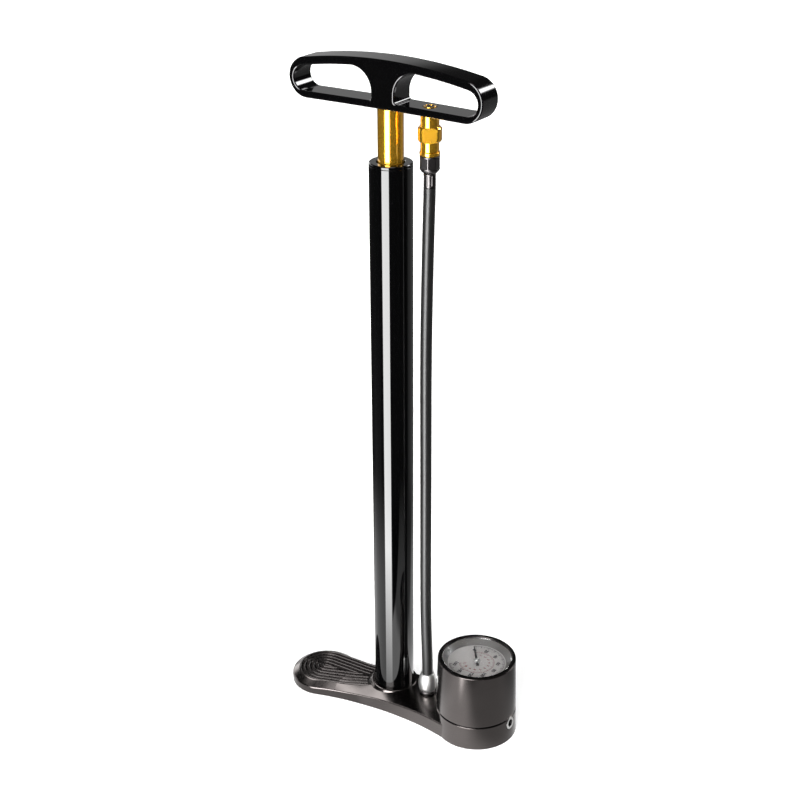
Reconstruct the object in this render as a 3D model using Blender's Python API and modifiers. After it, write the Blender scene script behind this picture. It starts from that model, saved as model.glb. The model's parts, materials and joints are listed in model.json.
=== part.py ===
"""Floor pump for bicycle tyres, as an assembly of separate pieces.

The Z axis is the barrel's axis and z = 0 is the floor. The gauge is at +X, the foot paddle at -X,
and the handle lies along X. The plunger is fully down and the chuck is docked in the handle.
Sizes are in millimetres and the helpers scale them to metres.
"""

from math import atan2, cos, pi, radians, sin, sqrt

import bmesh
import bpy
import numpy as np
from mathutils import Vector

MM = 0.001
GAP = 0.3                       # clearance between pieces that touch

# Base plate
BASE_BOTTOM = 1.0               # the rubber feet stand 1 mm below the casting
PADDLE_CENTRE = (-73.2, -17.4)
PADDLE_RADIUS = 33.1
PADDLE_TOP_RADIUS = 25.8
PADDLE_CREASE = 8.2             # height of the vertical side wall at the paddle
PADDLE_TOP = 13.0
DECK_TOP = 17.0                 # deck between barrel and gauge
BOSS_TOP = 17.5                 # round boss that holds the barrel
BOSS_RADIUS = 22.5

# Barrel and its top cap
BARREL_RADIUS = 19.0
BARREL_BORE = 17.2
BARREL_BOTTOM = 10.3
SOCKET_FLOOR = 8.0
CAP_TOP = 547.6
CAP_LIP = 2.7
CAP_SKIRT_BOTTOM = 522.0

# Plunger
ROD_RADIUS = 11.2
ROD_BORE = 8.7
PISTON_BOTTOM = 24.0
PISTON_TOP = 40.0

# Handle
HANDLE_BOTTOM = 594.1
HANDLE_TOP = 635.3
HANDLE_THICKNESS = 25.0
HANDLE_TOP_CURVE = 466.0        # radius of the arched top
HANDLE_END = (79.1, 610.9)      # centre of the round end
HANDLE_END_RADIUS = 17.5
WINDOW_END = (80.8, 610.1)      # centre of the window's round outer end
WINDOW_END_RADIUS = 10.8
POST_HALF_WIDTH = 11.5

# Gauge
GAUGE = (95.0, 0.0)
GAUGE_TOP = 79.4
GAUGE_TOP_RADIUS = 37.0
GAUGE_FLOOR_RADIUS = 39.4
GAUGE_SPLIT = 25.0              # joint between the base and the gauge housing
HOUSING_BORE = 33.4
DIAL_TOP = 71.5
DIAL_RADIUS = 27.7              # dial that shows inside the bezel ring
NEEDLE_REST = radians(128.0)
PIVOT = (-24.5, 0.0)            # sector gear's pivot, from the gauge's centre
SECTOR_TEETH = 60
PINION_TEETH = 10

# Hose and chuck
FITTING_X = 39.3
CHUCK_X = 39.2
SLEEVE_FLAT = 8.1               # from the axis to each of the two spanner flats
SLEEVE_FLAT_ANGLE = radians(-55.8)
NUT_TOP = 39.0
HOSE_RADIUS = 5.25
HOSE_TOP = 531.5
HOSE_ROUTE = [(39.3, 39.3), (39.2, 50.0), (38.6, 66.0), (37.8, 86.0), (37.1, 110.0), (36.8, 140.0),
              (36.65, 175.0), (36.6, 215.0), (36.5, 260.0), (36.35, 305.0), (36.2, 350.0), (36.4, 395.0),
              (37.0, 435.0), (37.7, 470.0), (38.4, 500.0), (39.0, 520.0), (39.2, HOSE_TOP)]

# Colour, roughness and metallic value of each finish
FINISHES = {
    "gunmetal": ((0.10, 0.093, 0.09), 0.38, 0.9),
    "gloss_black": ((0.012, 0.012, 0.013), 0.12, 0.3),
    "gold": ((0.78, 0.50, 0.09), 0.25, 1.0),
    "silver": ((0.80, 0.80, 0.80), 0.22, 1.0),
    "brass": ((0.70, 0.52, 0.22), 0.35, 1.0),
    "dark_grey": ((0.07, 0.07, 0.075), 0.4, 0.6),
    "rubber": ((0.02, 0.02, 0.02), 0.75, 0.0),
    "acetal": ((0.75, 0.74, 0.70), 0.5, 0.0),
    "dial_print": ((0.72, 0.70, 0.68), 0.5, 0.0),
    "clear": ((0.9, 0.92, 0.93), 0.05, 0.0),
    "spring_steel": ((0.55, 0.55, 0.56), 0.3, 1.0),
}


# ---------------------------------------------------------------- helpers

def clear_scene():
    for old in list(bpy.data.objects):
        bpy.data.objects.remove(old, do_unlink=True)


def new_collection(name):
    group = bpy.data.collections.new(name)
    bpy.context.scene.collection.children.link(group)
    return group


def new_material(name, finish):
    colour, roughness, metallic = FINISHES[finish]
    material = bpy.data.materials.new(name)
    material.use_nodes = True
    shader = material.node_tree.nodes["Principled BSDF"]
    shader.inputs["Base Color"].default_value = (*colour, 1.0)
    shader.inputs["Roughness"].default_value = roughness
    shader.inputs["Metallic"].default_value = metallic
    return material


def new_object(name, data, finish, at=(0.0, 0.0, 0.0)):
    """Put a piece in the parts collection, or a cutter (finish None) in the cutters collection."""
    piece = bpy.data.objects.new(name, data)
    piece.location = [value * MM for value in at]
    if finish is None:
        piece.hide_render = True
        piece.display_type = 'WIRE'
        CUTTERS.objects.link(piece)
    else:
        data.materials.append(new_material(name, finish))
        PARTS.objects.link(piece)
    return piece


def turned(name, profile, finish=None, at=(0.0, 0.0, 0.0), segments=24):
    """Turn a profile of (radius, height) points about Z.

    The outer side comes first, top to bottom. A profile that starts off the axis is a closed ring.
    """
    points = [(radius * MM, 0.0, height * MM) for radius, height in profile]
    edges = [(i, i + 1) for i in range(len(points) - 1)]
    if profile[0][0] > 0.0:
        edges.append((len(points) - 1, 0))
    mesh = bpy.data.meshes.new(name)
    mesh.from_pydata(points, edges, [])
    piece = new_object(name, mesh, finish, at)
    screw = piece.modifiers.new("Turn", 'SCREW')
    screw.steps = segments
    screw.render_steps = segments
    screw.use_merge_vertices = True
    screw.merge_threshold = 0.000001
    screw.use_smooth_shade = True
    return piece


def disc(name, radius, z_low, z_high, finish=None, at=(0.0, 0.0, 0.0), segments=24):
    profile = [(0.0, z_high), (radius, z_high), (radius, z_low), (0.0, z_low)]
    return turned(name, profile, finish, at, segments)


def ring(name, outer, inner, z_low, z_high, finish=None, at=(0.0, 0.0, 0.0), segments=24):
    profile = [(outer, z_high), (outer, z_low), (inner, z_low), (inner, z_high)]
    return turned(name, profile, finish, at, segments)


def rod_between(name, start, end, radius, finish=None, segments=12):
    """Cylinder from one point to another."""
    axis = Vector(end) - Vector(start)
    piece = disc(name, radius, 0.0, axis.length, finish, start, segments)
    piece.rotation_euler = axis.to_track_quat('Z', 'Y').to_euler()
    return piece


def mesh_from_curve(curve, name, finish, at, tilt=0.0):
    """Turn a curve into a welded mesh object, tilted about X."""
    guide = bpy.data.objects.new(name, curve)
    CUTTERS.objects.link(guide)
    bpy.context.view_layer.update()
    evaluated = guide.evaluated_get(bpy.context.evaluated_depsgraph_get())
    mesh = bpy.data.meshes.new_from_object(evaluated)
    bpy.data.objects.remove(guide, do_unlink=True)
    welded = bmesh.new()
    welded.from_mesh(mesh)
    bmesh.ops.remove_doubles(welded, verts=welded.verts, dist=0.000005)
    welded.to_mesh(mesh)
    welded.free()
    piece = new_object(name, mesh, finish, at)
    piece.rotation_euler = (tilt, 0.0, 0.0)
    return piece


def plate(name, outlines, low, high, finish=None, at=(0.0, 0.0), tilt=0.0):
    """Flat plate with the given outlines, the first one outside and the others holes.

    It lies in XY between two heights. Tilted by a quarter turn it stands in XZ instead.
    """
    curve = bpy.data.curves.new(name, 'CURVE')
    curve.dimensions = '2D'
    curve.fill_mode = 'BOTH'
    curve.extrude = (high - low) / 2 * MM
    for outline in outlines:
        spline = curve.splines.new('POLY')
        spline.points.add(len(outline) - 1)
        for point, (x, y) in zip(spline.points, outline):
            point.co = (x * MM, y * MM, 0.0, 1.0)
        spline.use_cyclic_u = True
    middle = (low + high) / 2
    return mesh_from_curve(curve, name, finish, (at[0], at[1], middle), tilt)


def tube(name, points, radius, finish, at=(0.0, 0.0, 0.0), resolution=2):
    """Solid round tube along a list of points."""
    curve = bpy.data.curves.new(name, 'CURVE')
    curve.dimensions = '3D'
    curve.fill_mode = 'FULL'
    curve.bevel_depth = radius * MM
    curve.bevel_resolution = resolution
    curve.use_fill_caps = True
    spline = curve.splines.new('POLY')
    spline.points.add(len(points) - 1)
    for point, (x, y, z) in zip(spline.points, points):
        point.co = (x * MM, y * MM, z * MM, 1.0)
    return mesh_from_curve(curve, name, finish, at)


def combine(piece, tools, operation):
    """Add or take away all the tools in one step, as one group."""
    group = bpy.data.collections.new(f"{piece.name}_{operation.lower()}")
    CUTTERS.children.link(group)
    for tool in tools:
        CUTTERS.objects.unlink(tool)
        group.objects.link(tool)
    boolean = piece.modifiers.new(group.name, 'BOOLEAN')
    boolean.operation = operation
    boolean.operand_type = 'COLLECTION'
    boolean.collection = group
    boolean.solver = 'EXACT'


def join(piece, *tools):
    combine(piece, tools, 'UNION')


def cut(piece, *tools):
    combine(piece, tools, 'DIFFERENCE')


def arc(centre, radius, start, end, count):
    """Points on an arc, from one angle to another in radians, both ends included."""
    angles = [start + (end - start) * i / (count - 1) for i in range(count)]
    return [(centre[0] + radius * cos(a), centre[1] + radius * sin(a)) for a in angles]


def smooth_rows(rows, steps):
    """Catmull-Rom curve through rows of numbers, with the given number of steps for each span."""
    known = np.array(rows, float)
    ends = np.vstack([2 * known[0] - known[1], known, 2 * known[-1] - known[-2]])
    result = []
    for i in range(1, len(ends) - 2):
        a, b, c, d = ends[i - 1:i + 3]
        for step in range(steps):
            t = step / steps
            result.append(0.5 * (2 * b + (c - a) * t + (2 * a - 5 * b + 4 * c - d) * t ** 2
                                 + (3 * b - a - 3 * c + d) * t ** 3))
    result.append(known[-1])
    return result


def on_gauge(x, y):
    """A place given from the gauge's centre, in the pump's own frame."""
    return (GAUGE[0] + x, GAUGE[1] + y)


# ---------------------------------------------------------------- base plate

# Stations from the paddle to the gauge. Each row: outer edge x, y, height of the crease above it,
# top edge x, y, and the height of the top.
FRONT_STATIONS = [
    (-50.3, -44.5, 9.2, -51.5, -34.9, PADDLE_TOP),
    (-31.6, -39.6, 10.2, -34.0, -26.8, PADDLE_TOP),
    (-12.2, -36.0, 12.0, -12.0, -19.5, 14.5),
    (7.6, -33.3, 13.2, 7.0, -15.6, DECK_TOP),
    (28.2, -32.1, 14.0, 28.0, -14.6, DECK_TOP),
    (49.5, -32.3, 14.8, 49.0, -15.8, DECK_TOP),
    (70.0, -34.4, 15.4, 70.0, -17.0, DECK_TOP),
    (95.0, -38.6, 15.6, 95.0, -18.0, DECK_TOP),
]
BACK_STATIONS = [
    (-52.0, 12.1, 9.0, -50.5, 7.5, PADDLE_TOP),
    (-37.0, 14.3, 10.0, -36.0, 9.6, PADDLE_TOP),
    (-12.0, 17.6, 12.0, -12.0, 13.2, 14.5),
    (9.0, 21.0, 13.2, 9.0, 16.2, DECK_TOP),
    (30.0, 25.2, 14.0, 30.0, 19.8, DECK_TOP),
    (50.0, 29.2, 14.8, 50.0, 23.4, DECK_TOP),
    (70.0, 33.6, 15.4, 70.0, 25.0, DECK_TOP),
    (95.0, 38.6, 15.6, 95.0, 26.0, DECK_TOP),
]
PADDLE_ARC = (radians(72.0), radians(286.0))
SPAN_STEPS = 2


def paddle_row(angle):
    direction = (cos(angle), sin(angle))
    outer = [PADDLE_CENTRE[i] + PADDLE_RADIUS * direction[i] for i in (0, 1)]
    top = [PADDLE_CENTRE[i] + PADDLE_TOP_RADIUS * direction[i] for i in (0, 1)]
    return (*outer, PADDLE_CREASE, *top, PADDLE_TOP)


def base_plate():
    """Low casting: round paddle, arm and deck, with sloping flanks above a vertical edge."""
    back = smooth_rows([paddle_row(PADDLE_ARC[0])] + BACK_STATIONS, SPAN_STEPS)
    front = smooth_rows([paddle_row(PADDLE_ARC[1])] + FRONT_STATIONS, SPAN_STEPS)
    round_end = [paddle_row(a) for a in np.linspace(*PADDLE_ARC, 24)]
    spine = [((f[3] + b[3]) / 2, (f[4] + b[4]) / 2, f[5]) for f, b in zip(front, back)]
    spine[0] = (*PADDLE_CENTRE, PADDLE_TOP)
    rows = back[::-1] + round_end[1:-1] + front
    middles = spine[::-1] + [spine[0]] * len(round_end[1:-1]) + spine
    below = BASE_BOTTOM - 3.0
    shape = bmesh.new()
    rings = [
        [shape.verts.new((row[0] * MM, row[1] * MM, below * MM)) for row in rows],
        [shape.verts.new((row[0] * MM, row[1] * MM, row[2] * MM)) for row in rows],
        [shape.verts.new((row[3] * MM, row[4] * MM, row[5] * MM)) for row in rows],
        [shape.verts.new([value * MM for value in middle]) for middle in middles],
    ]
    count = len(rows)
    for low, high in zip(rings, rings[1:]):
        for i in range(count - 1):
            shape.faces.new((low[i], low[i + 1], high[i + 1], high[i]))
        if high is not rings[-1]:
            shape.faces.new((low[-1], low[0], high[0], high[-1]))
    shape.faces.new(rings[0][::-1])
    shape.faces.new((rings[2][-1], rings[2][0], rings[3][0], rings[3][-1]))
    bmesh.ops.remove_doubles(shape, verts=shape.verts, dist=0.000001)
    bmesh.ops.dissolve_degenerate(shape, edges=shape.edges, dist=0.000001)
    bmesh.ops.recalc_face_normals(shape, faces=shape.faces)
    mesh = bpy.data.meshes.new("base")
    shape.to_mesh(mesh)
    shape.free()
    return new_object("base", mesh, "gunmetal")


FEET = {
    "foot_centre": ((0.0, 0.0), 17.0),
    "foot_paddle": (PADDLE_CENTRE, 22.0),
    "foot_gauge": (GAUGE, 30.0),
}
FOOT_RECESS = 2.0               # depth of the pocket that holds each foot
SCREW_ANGLES = (radians(90.0), radians(210.0), radians(330.0))
SCREW_CIRCLE = 35.8

# Air passage, drilled from the gauge end and sloping down to the check valve
PASSAGE_MOUTH = (134.6, 18.6)
PASSAGE_SLOPE = 0.1
PASSAGE_RADIUS = 2.0
PLUG_RADIUS = 5.9


def on_passage(x):
    return (x, 0.0, PASSAGE_MOUTH[1] - PASSAGE_SLOPE * (PASSAGE_MOUTH[0] - x))


def screw_places():
    return [on_gauge(SCREW_CIRCLE * cos(a), SCREW_CIRCLE * sin(a)) for a in SCREW_ANGLES]


def build_base():
    base = base_plate()
    gauge = (*GAUGE, 0.0)
    slope = (GAUGE_FLOOR_RADIUS - GAUGE_TOP_RADIUS) / GAUGE_TOP
    split_radius = GAUGE_FLOOR_RADIUS - slope * GAUGE_SPLIT
    pedestal = turned("base_pedestal", [(0.0, GAUGE_SPLIT), (split_radius - 0.4, GAUGE_SPLIT),
                                        (split_radius, GAUGE_SPLIT - 0.4),
                                        (GAUGE_FLOOR_RADIUS, BASE_BOTTOM - 1.0),
                                        (0.0, BASE_BOTTOM - 1.0)], at=gauge, segments=48)
    boss = turned("base_boss", [(0.0, BOSS_TOP), (BOSS_RADIUS - 0.6, BOSS_TOP),
                                (BOSS_RADIUS, BOSS_TOP - 0.6), (26.5, 11.0),
                                (26.5, BASE_BOTTOM - 1.5), (0.0, BASE_BOTTOM - 1.5)],
                  segments=32)
    join(base, pedestal, boss)

    under = turned("base_underside", [(0.0, BASE_BOTTOM), (300.0, BASE_BOTTOM),
                                      (300.0, BASE_BOTTOM - 9.0), (0.0, BASE_BOTTOM - 9.0)], segments=8)
    socket = disc("base_socket", BARREL_RADIUS + GAP, SOCKET_FLOOR, 30.0, segments=32)
    valve_bore = disc("base_valve_bore", 6.3, 5.0, SOCKET_FLOOR + 1.0, segments=12)
    adapter_bore = disc("base_adapter_bore", 4.3, 7.5, 30.0, at=(FITTING_X, 0.0, 0.0), segments=12)
    stem_bore = disc("base_stem_bore", 5.3, 13.0, 30.0, at=gauge, segments=12)
    passage = rod_between("base_passage", on_passage(5.5), on_passage(130.0), PASSAGE_RADIUS)
    plug_bore = rod_between("base_plug_bore", on_passage(126.5), on_passage(145.0), PLUG_RADIUS + GAP,
                            None, 24)
    cutters = [under, passage, plug_bore, socket, valve_bore, adapter_bore, stem_bore]

    for name, (place, radius) in FEET.items():
        pocket = disc(name + "_pocket", radius + GAP, BASE_BOTTOM - 5.0, BASE_BOTTOM + FOOT_RECESS,
                      at=(*place, 0.0))
        cutters.append(pocket)
        disc(name, radius, 0.0, BASE_BOTTOM + FOOT_RECESS - GAP, "rubber", (*place, 0.0))

    for number, place in enumerate(screw_places()):
        profile = [(0.0, 30.0), (1.5, 30.0), (1.5, 3.5), (2.6, 3.5), (2.6, -4.0), (0.0, -4.0)]
        cutters.append(turned(f"base_screw_hole_{number}", profile, at=(*place, 0.0), segments=12))
    cut(base, *cutters)

    plug = rod_between("passage_plug", on_passage(126.8), on_passage(133.6), PLUG_RADIUS, "silver", 24)
    key = rod_between("plug_key", on_passage(129.5), on_passage(140.0), 3.4, None, 6)
    cut(plug, key)


# ---------------------------------------------------------------- barrel

def build_barrel():
    cap_lip_bottom = CAP_TOP - CAP_LIP
    ring("barrel", BARREL_RADIUS, BARREL_BORE, BARREL_BOTTOM, cap_lip_bottom - GAP, "gloss_black",
         segments=40)
    ring("barrel_seal", BARREL_RADIUS - 0.1, 17.4, SOCKET_FLOOR + GAP, BARREL_BOTTOM - GAP, "rubber")
    skirt = BARREL_BORE - GAP
    turned("barrel_cap", [(ROD_RADIUS + 1.1, CAP_TOP - 0.5), (ROD_RADIUS + 1.6, CAP_TOP),
                          (BARREL_RADIUS - 1.2, CAP_TOP), (BARREL_RADIUS, CAP_TOP - 1.2),
                          (BARREL_RADIUS, cap_lip_bottom), (skirt, cap_lip_bottom),
                          (skirt, CAP_SKIRT_BOTTOM), (14.5, CAP_SKIRT_BOTTOM), (14.5, 541.0),
                          (ROD_RADIUS + 1.1, 541.0)], "gloss_black", segments=32)
    ring("rod_bushing", 14.2, ROD_RADIUS + GAP, 522.5, 535.7, "acetal")
    ring("rod_wiper", 14.2, ROD_RADIUS + GAP, 536.0, 540.7, "rubber")


def build_check_valve():
    """Brass valve in the barrel's floor: air pushes the poppet down and off its seat."""
    turned("check_valve_body", [(1.6, 17.5), (6.2, 17.5), (7.0, 16.7), (7.0, 11.0), (8.5, 11.0),
                                (8.5, SOCKET_FLOOR + GAP), (6.0, SOCKET_FLOOR + GAP), (6.0, 6.3),
                                (3.6, 6.3), (3.6, 15.0), (1.6, 15.0)], "brass", segments=12)
    turned("check_valve_poppet", [(0.0, 14.7), (2.6, 14.7), (3.1, 14.2), (3.1, 12.7), (1.0, 12.7),
                                  (1.0, 9.6), (0.0, 9.6)], "rubber", segments=12)
    ring("check_valve_retainer", 3.3, 1.3, 6.5, 7.4, "brass", segments=12)
    turns, low, high = 4.0, 7.95, 12.15
    steps = int(turns * 8)
    coil = [(2.2 * cos(2 * pi * turns * i / steps), 2.2 * sin(2 * pi * turns * i / steps),
             low + (high - low) * i / steps) for i in range(steps + 1)]
    tube("check_valve_spring", coil, 0.22, "spring_steel")


# ---------------------------------------------------------------- plunger

def build_plunger():
    ring("piston_rod", ROD_RADIUS, ROD_BORE, PISTON_TOP + GAP, HANDLE_BOTTOM - GAP, "gold", segments=32)
    plug = ROD_BORE - GAP
    turned("rod_end_plug", [(0.0, 619.0), (4.1, 619.0), (4.7, 618.4), (4.7, HANDLE_BOTTOM - 0.5),
                            (plug, HANDLE_BOTTOM - 0.5), (plug, 566.0), (0.0, 566.0)], "silver",
           segments=16)
    face = BARREL_BORE - 0.6
    turned("piston_head", [(face, PISTON_TOP), (face, 37.0), (14.4, 37.0), (14.4, 33.5), (face, 33.5),
                           (face, 31.0), (14.0, 31.0), (14.0, 26.5), (face, 26.5),
                           (face, PISTON_BOTTOM), (3.2, PISTON_BOTTOM), (3.2, 62.0), (plug, 62.0),
                           (plug, PISTON_TOP)], "acetal")
    lip = BARREL_BORE - GAP
    turned("piston_seal", [(lip - 0.4, 30.7), (lip - 0.4, 28.6), (lip, 26.9), (lip - 0.7, 26.9),
                           (15.9, 28.2), (14.6, 26.9), (14.3, 26.9), (14.3, 30.7)], "rubber")
    ring("piston_glide_ring", lip, 14.7, 33.8, 36.7, "acetal")
    turned("piston_bolt", [(0.0, 58.0), (2.9, 58.0), (2.9, 23.7), (5.0, 23.7), (5.0, 21.0), (4.4, 20.4),
                           (0.0, 20.4)], "silver", segments=12)
    ring("top_out_bumper", 14.6, ROD_RADIUS + GAP, PISTON_TOP + 2 * GAP, 49.6, "rubber")


def handle_outline():
    """Outside of the handle in XZ: arched top, round ends and a nearly straight bottom."""
    lean = 0.171                # slope angle of the arched top where the round end meets it
    end = arc(HANDLE_END, HANDLE_END_RADIUS, -pi / 2, pi / 2 - lean, 11)
    centre = (0.0, HANDLE_TOP - HANDLE_TOP_CURVE)
    top = arc(centre, HANDLE_TOP_CURVE, pi / 2 - lean, pi / 2, 7)
    right = [(0.0, HANDLE_BOTTOM), (40.0, HANDLE_BOTTOM - 0.2)] + end + top[1:]
    left = [(-x, z) for x, z in right[1:-1]]
    return right + left[::-1]


def window_outline(side):
    """Hand opening on one side: rounded outer end, sloping top and a quarter round at the post."""
    lean = 0.178
    corner = 2.5
    floor_inner = HANDLE_BOTTOM + 6.0
    quarter = 20.0
    quarter_centre = (POST_HALF_WIDTH + quarter, 607.2)
    top_radius = HANDLE_TOP_CURVE - 7.0
    top_centre = (0.0, HANDLE_TOP - HANDLE_TOP_CURVE)
    points = arc((POST_HALF_WIDTH + corner, floor_inner + corner), corner, pi, 1.5 * pi, 4)
    points += arc(WINDOW_END, WINDOW_END_RADIUS, -pi / 2, pi / 2 - lean, 9)
    points += arc(top_centre, top_radius, pi / 2 - lean, pi / 2 - quarter_centre[0] / top_radius, 5)[1:]
    points += arc(quarter_centre, quarter, pi / 2, pi, 7)[1:]
    return [(side * x, z) for x, z in points]


def build_handle():
    half = HANDLE_THICKNESS / 2
    outlines = [handle_outline(), window_outline(1), window_outline(-1)]
    handle = plate("handle", outlines, -half, half, "gloss_black", tilt=pi / 2)
    bevel = handle.modifiers.new("Rounded edges", 'BEVEL')
    bevel.width = 2.0 * MM
    bevel.segments = 2
    bevel.limit_method = 'ANGLE'
    bevel.angle_limit = radians(60.0)
    stud_bore = disc("handle_stud_bore", 5.0, HANDLE_BOTTOM - 10.0, 620.0, segments=12)
    dock = disc("handle_dock", 6.1, HANDLE_BOTTOM - 10.0, 605.0, at=(CHUCK_X, 0.0, 0.0), segments=24)
    screw_bore = rod_between("handle_screw_bore", (0.0, 4.0, 609.0), (0.0, 20.0, 609.0), 2.6, None, 12)
    cut(handle, stud_bore, dock, screw_bore)
    screw = rod_between("handle_set_screw", (0.0, 5.2, 609.0), (0.0, 11.6, 609.0), 2.3, "dark_grey", 12)
    key = rod_between("set_screw_key", (0.0, 9.0, 609.0), (0.0, 15.0, 609.0), 1.3, None, 6)
    cut(screw, key)


# ---------------------------------------------------------------- gauge

def gear_teeth(count, numbers, root, tip, phase):
    """Tooth corners round the origin. A tooth is a trapezoid, wider at its root."""
    points = []
    for number in numbers:
        middle = phase + 2 * pi * number / count
        for radius, half in ((root, -0.55), (tip, -0.2), (tip, 0.2), (root, 0.55)):
            angle = middle + half / radius
            points.append((radius * cos(angle), radius * sin(angle)))
    return points


def build_gauge_case():
    gauge = (*GAUGE, 0.0)
    low = GAUGE_SPLIT + GAP
    slope = (GAUGE_FLOOR_RADIUS - GAUGE_TOP_RADIUS) / GAUGE_TOP
    low_radius = GAUGE_FLOOR_RADIUS - slope * low
    housing = turned("gauge_housing", [
        (HOUSING_BORE, GAUGE_TOP), (GAUGE_TOP_RADIUS - 0.8, GAUGE_TOP), (GAUGE_TOP_RADIUS, GAUGE_TOP - 0.8),
        (low_radius, low + 0.4), (low_radius - 0.4, low), (5.4, low), (5.4, 28.3), (HOUSING_BORE, 28.3)],
        "gunmetal", gauge, 48)
    cut(housing, *[disc(f"housing_screw_hole_{number}", 1.5, 20.0, 36.0, at=(*place, 0.0), segments=12)
                   for number, place in enumerate(screw_places())])
    profile = [(0.0, 35.0), (1.2, 35.0), (1.2, 3.2), (2.3, 3.2), (2.3, 1.3), (0.0, 1.3)]
    for number, place in enumerate(screw_places(), 1):
        turned(f"housing_screw_{number}", profile, "silver", (*place, 0.0), 12)
    turned("bezel_ring", [(33.1, 76.1), (33.1, DIAL_TOP + GAP), (DIAL_RADIUS, DIAL_TOP + GAP), (32.4, 76.1)],
           "dial_print", gauge, 40)
    turned("gauge_lens", [(0.0, 79.2), (32.2, 79.2), (33.1, 78.3), (33.1, 76.4), (0.0, 76.4)],
           "clear", gauge, 40)
    ring("dial_plate", 32.9, 1.6, DIAL_TOP - 0.9, DIAL_TOP, "dial_print", gauge, 40)
    ring("stem_seal", 7.6, 5.4, 28.6, 30.2, "rubber", gauge)


def build_gauge_movement():
    gauge = (*GAUGE, 0.0)
    root_angle = radians(-102.0)
    tube_radius = 27.0
    socket = turned("gauge_socket", [(0.0, 54.7), (4.0, 54.7), (4.0, 36.0), (9.0, 36.0), (9.0, 30.5),
                                     (5.0, 30.5), (5.0, 13.3), (0.0, 13.3)], "brass", gauge, 16)
    reach = tube_radius + 1.5
    side = Vector((-sin(root_angle), cos(root_angle))) * 3.5
    outer_end = Vector((cos(root_angle), sin(root_angle))) * reach
    arm = plate("socket_arm", [[side * -1, outer_end - side, outer_end + side, side]], 31.5, 35.5, at=GAUGE)
    inner_end = Vector((cos(root_angle), sin(root_angle))) * (tube_radius - 1.5)
    block = plate("socket_block", [[inner_end - side * 0.5, outer_end - side * 0.5, outer_end + side * 0.5,
                                    inner_end + side * 0.5]], 34.0, 50.0, at=GAUGE)
    join(socket, arm, block)

    tube_start, tube_end = radians(-96.0), radians(150.0)
    band = (arc((0.0, 0.0), tube_radius + 1.5, tube_start, tube_end, 18)
            + arc((0.0, 0.0), tube_radius - 1.5, tube_end, tube_start, 18))
    bourdon = plate("bourdon_tube", [band], 41.0, 50.0, "brass", GAUGE)
    tip = (tube_radius * cos(tube_end - 0.05), tube_radius * sin(tube_end - 0.05))
    join(bourdon, disc("bourdon_tip", 1.2, 45.0, 57.3, at=(*on_gauge(*tip), 0.0), segments=12))

    frame_outline = [(8.0, -5.0), (8.0, 5.0), (5.5, 7.8), (-28.0, 7.8), (-30.5, 5.0), (-30.5, -5.0),
                     (-28.0, -7.8), (5.5, -7.8)]
    frame = plate("movement_frame", [frame_outline], 55.0, 56.2, "brass", GAUGE)
    pillars = [disc(f"movement_pillar_{number}", 1.2, 55.6, 67.1, at=(*on_gauge(*place), 0.0), segments=12)
               for number, place in enumerate(((5.0, 4.5), (5.0, -4.5), (-24.5, -6.2)))]
    join(frame, plate("movement_top", [frame_outline], 66.5, 67.7, at=GAUGE), *pillars)
    cut(frame, *[disc(name + "_bearing", 1.35, 50.0, 72.0, at=(*on_gauge(*place), 0.0), segments=12)
                 for name, place in (("pinion", (0.0, 0.0)), ("sector", PIVOT))])
    for number, side in enumerate((-1, 1), 1):
        disc(f"dial_post_{number}", 1.2, 68.0, 70.3, "brass", (*on_gauge(3.5, 6.0 * side), 0.0), 12)

    pinion_phase = pi + pi / PINION_TEETH
    pinion = plate("needle_arbor", [gear_teeth(PINION_TEETH, range(PINION_TEETH), 2.55, 4.1, pinion_phase)],
                   60.0, 63.5, "brass", GAUGE)
    join(pinion, disc("needle_shaft", 1.0, 54.9, 73.7, at=gauge, segments=12))

    pivot = (*on_gauge(*PIVOT), 0.0)
    fan = [(0.0, 0.0)] + gear_teeth(SECTOR_TEETH, range(-10, 3), 20.05, 21.6, 0.0)
    sector = plate("sector_gear", [fan], 60.3, 63.2, "brass", pivot[:2])
    hub = turned("sector_hub", [(0.0, 68.5), (1.0, 68.5), (1.0, 63.6), (2.8, 63.6), (2.8, 59.9), (1.0, 59.9),
                                (1.0, 54.9), (0.0, 54.9)], at=pivot, segments=12)
    tail_angle = radians(157.5)
    tail_length = 5.0
    tail_end = Vector((cos(tail_angle), sin(tail_angle))) * tail_length
    tail_side = Vector((-sin(tail_angle), cos(tail_angle))) * 1.6
    tail_corner = tail_end * 1.36
    tail = plate("sector_tail", [[-tail_side, tail_side, tail_corner + tail_side, tail_corner - tail_side]],
                 60.5, 63.0, at=pivot[:2])
    join(sector, hub, tail)
    pin_place = (pivot[0] + tail_end.x, pivot[1] + tail_end.y)
    cut(sector, disc("sector_pin_hole", 1.1, 50.0, 72.0, at=(*pin_place, 0.0), segments=12))

    tip_place = on_gauge(*tip)
    along = (tip_place[0] - pin_place[0], tip_place[1] - pin_place[1])
    heading = atan2(along[1], along[0])
    length = sqrt(along[0] ** 2 + along[1] ** 2)
    bar = (arc((0.0, 0.0), 1.3, heading + pi / 2, heading + 1.5 * pi, 5)
           + arc((length * cos(heading), length * sin(heading)), 1.3, heading - pi / 2, heading + pi / 2, 5))
    link = plate("gauge_link", [bar], 57.6, 58.8, "brass", pin_place)
    join(link, disc("link_pin", 0.8, 58.2, 63.8, at=(*pin_place, 0.0), segments=12))


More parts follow.
